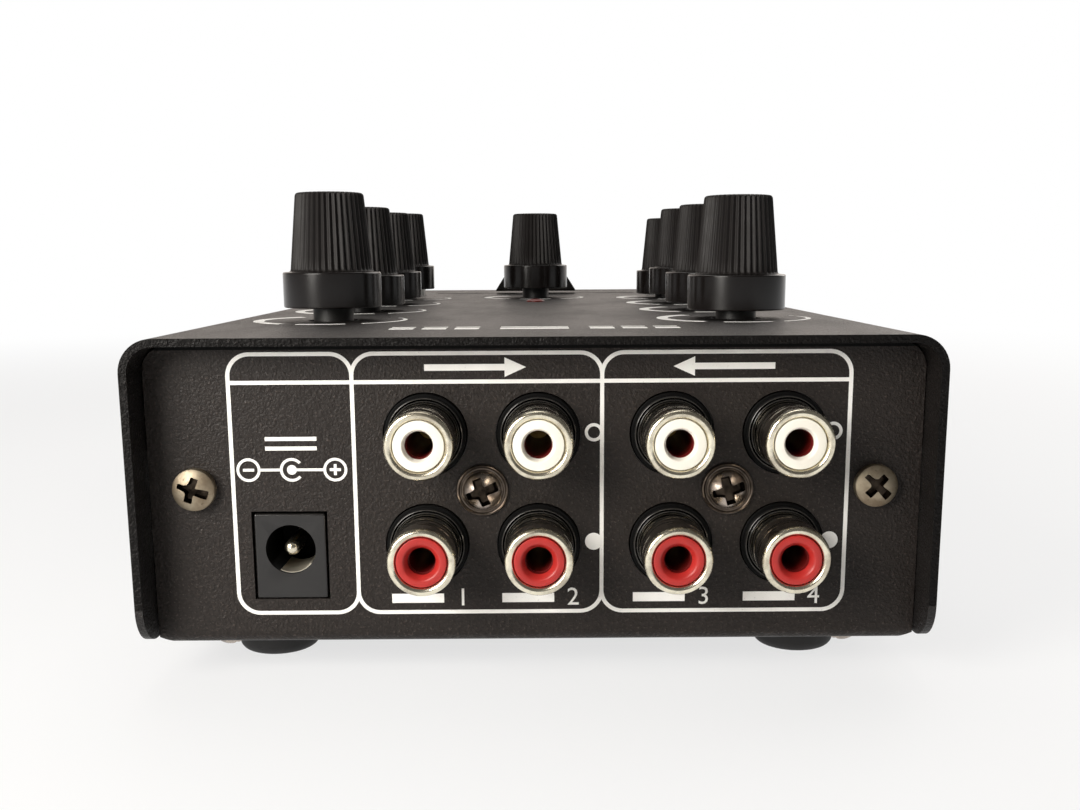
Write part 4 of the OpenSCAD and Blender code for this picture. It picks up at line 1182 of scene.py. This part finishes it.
class MixerShapes(bpy.types.PropertyGroup):
    """Sizes that only the looks use."""
    edge_radius: size_property("Edge radius", "Rounding of the sheet's edges", 0.18)
    # The strip is a painted shadow under the cover's edge
    painted_shadow_rim: size_property("Dark rim", "Height of the dark rim along the top of the chassis", 0.62)
    line_width: size_property("Line width", "Width of the printed lines", 0.5)
    ink_thickness: size_property("Ink thickness", "Thickness of the printed ink", 0.03)
    skirt: size_property("Skirt", "Diameter of the knob skirts", 14.5)
    skirt_height: size_property("Skirt height", "Height of the knob skirts", 5.2)
    grip: size_property("Grip", "Diameter of the grip at the skirt", 12.1)
    grip_top: size_property("Grip top", "Diameter of the grip at its top", 10.1)
    flutes: bpy.props.IntProperty(
        name="Flutes", description="Flutes around a grip", default=40, min=12)
    flute_depth: size_property("Flute depth", "Depth of the flutes", 0.3)
    socket_out: size_property("Socket reach", "How far the sleeves stand out", 9.1)
    plug_hole: size_property("Plug hole", "Diameter of the hole of a phono socket", 3.34)


class MixerStage(bpy.types.PropertyGroup):
    """Camera and lights."""
    lens: bpy.props.FloatProperty(
        name="Lens", description="Focal length of the camera, in mm", default=38.037, min=1.0,
        unit="CAMERA")
    key_power: power_property("Key light", "Power of the key light", 1.12)
    top_power: power_property("Top light", "Power of the light above", 3.0)
    fill_power: power_property("Fill light", "Power of the fill light", 2.5)
    world_strength: bpy.props.FloatProperty(
        name="World", description="Strength of the light from all around", default=0.12,
        min=0.0)
    floor_glow: bpy.props.FloatProperty(
        name="Floor glow", description="Share of plain white in the floor under the object",
        default=0.72, min=0.0, max=1.0, subtype="FACTOR")


# ---- Operators ----

class MIXER_OT_stage(bpy.types.Operator):
    """Adds the camera, floor and lights"""
    bl_idname = "mixer.stage"
    bl_label = "Stage"

    def execute(self, context):
        build_stage(context.scene.mixer_stage)
        return {"FINISHED"}


class MIXER_OT_finishes(bpy.types.Operator):
    """Makes the finishes"""
    bl_idname = "mixer.finishes"
    bl_label = "Finishes"

    def execute(self, context):
        make_finishes(context.scene.mixer_finishes)
        return {"FINISHED"}


class MIXER_OT_case(bpy.types.Operator):
    """Builds the cover and the chassis"""
    bl_idname = "mixer.case"
    bl_label = "Case"

    def execute(self, context):
        build_case(context.scene.mixer_shapes)
        return {"FINISHED"}


class MIXER_OT_panel_print(bpy.types.Operator):
    """Prints the lines and signs of the socket panel"""
    bl_idname = "mixer.panel_print"
    bl_label = "Panel print"

    def execute(self, context):
        build_panel_print(context.scene.mixer_shapes)
        return {"FINISHED"}


class MIXER_OT_dial_print(bpy.types.Operator):
    """Prints the scales on the cover"""
    bl_idname = "mixer.dial_print"
    bl_label = "Dial print"

    def execute(self, context):
        build_dial_print(context.scene.mixer_shapes)
        return {"FINISHED"}


class MIXER_OT_knobs(bpy.types.Operator):
    """Builds the nine knobs"""
    bl_idname = "mixer.knobs"
    bl_label = "Knobs"

    def execute(self, context):
        build_knobs(context.scene.mixer_shapes)
        return {"FINISHED"}


class MIXER_OT_sockets(bpy.types.Operator):
    """Builds the phono sockets"""
    bl_idname = "mixer.sockets"
    bl_label = "Phono sockets"

    def execute(self, context):
        build_sockets(context.scene.mixer_shapes)
        return {"FINISHED"}


class MIXER_OT_inlet(bpy.types.Operator):
    """Builds the power inlet"""
    bl_idname = "mixer.inlet"
    bl_label = "DC inlet"

    def execute(self, context):
        build_inlet()
        return {"FINISHED"}


class MIXER_OT_screws(bpy.types.Operator):
    """Builds the screws that show"""
    bl_idname = "mixer.screws"
    bl_label = "Screws"

    def execute(self, context):
        build_screws()
        return {"FINISHED"}


class MIXER_OT_crossfader(bpy.types.Operator):
    """Builds the crossfader's cap"""
    bl_idname = "mixer.crossfader"
    bl_label = "Crossfader"

    def execute(self, context):
        build_crossfader()
        return {"FINISHED"}


class MIXER_OT_buttons(bpy.types.Operator):
    """Builds the cue buttons"""
    bl_idname = "mixer.buttons"
    bl_label = "Cue buttons"

    def execute(self, context):
        build_buttons()
        return {"FINISHED"}


class MIXER_OT_lamp(bpy.types.Operator):
    """Builds the power lamp's lens"""
    bl_idname = "mixer.lamp"
    bl_label = "Power lamp"

    def execute(self, context):
        build_lamp()
        return {"FINISHED"}


class MIXER_OT_front_sockets(bpy.types.Operator):
    """Builds the plug sockets on the user's side"""
    bl_idname = "mixer.front_sockets"
    bl_label = "Front sockets"

    def execute(self, context):
        build_front_sockets()
        return {"FINISHED"}


class MIXER_OT_carried_over(bpy.types.Operator):
    """Finishes the CAD parts that stay"""
    bl_idname = "mixer.carried_over"
    bl_label = "Carried-over parts"

    def execute(self, context):
        build_carried_over()
        return {"FINISHED"}


OPERATORS = [
    MIXER_OT_stage, MIXER_OT_finishes, MIXER_OT_case, MIXER_OT_panel_print, MIXER_OT_dial_print,
    MIXER_OT_knobs, MIXER_OT_sockets, MIXER_OT_inlet, MIXER_OT_screws, MIXER_OT_crossfader,
    MIXER_OT_buttons, MIXER_OT_lamp, MIXER_OT_front_sockets, MIXER_OT_carried_over,
]


class MIXER_PT_looks(bpy.types.Panel):
    """Lists the mixer's pieces."""
    bl_label = "Mixer looks"
    bl_idname = "MIXER_PT_looks"
    bl_space_type = "VIEW_3D"
    bl_region_type = "UI"
    bl_category = "Mixer"

    def draw(self, context):
        for holder, kind in GROUPS:
            box = self.layout.box()
            for name in kind.__annotations__:
                box.prop(getattr(context.scene, holder), name)
        for operator in OPERATORS:
            self.layout.operator(operator.bl_idname)


GROUPS = (("mixer_finishes", MixerFinishes), ("mixer_shapes", MixerShapes),
          ("mixer_stage", MixerStage))


def register():
    for name, group in GROUPS:
        bpy.utils.register_class(group)
        setattr(bpy.types.Scene, name, bpy.props.PointerProperty(type=group))
    for cls in OPERATORS + [MIXER_PT_looks]:
        bpy.utils.register_class(cls)


def unregister():
    for cls in [MIXER_PT_looks] + OPERATORS[::-1]:
        bpy.utils.unregister_class(cls)
    for name, group in GROUPS[::-1]:
        delattr(bpy.types.Scene, name)
        bpy.utils.unregister_class(group)


def main():
    register()
    for operator in OPERATORS:
        getattr(bpy.ops.mixer, operator.bl_idname.split(".")[1])()


if __name__ == "__main__":
    main()
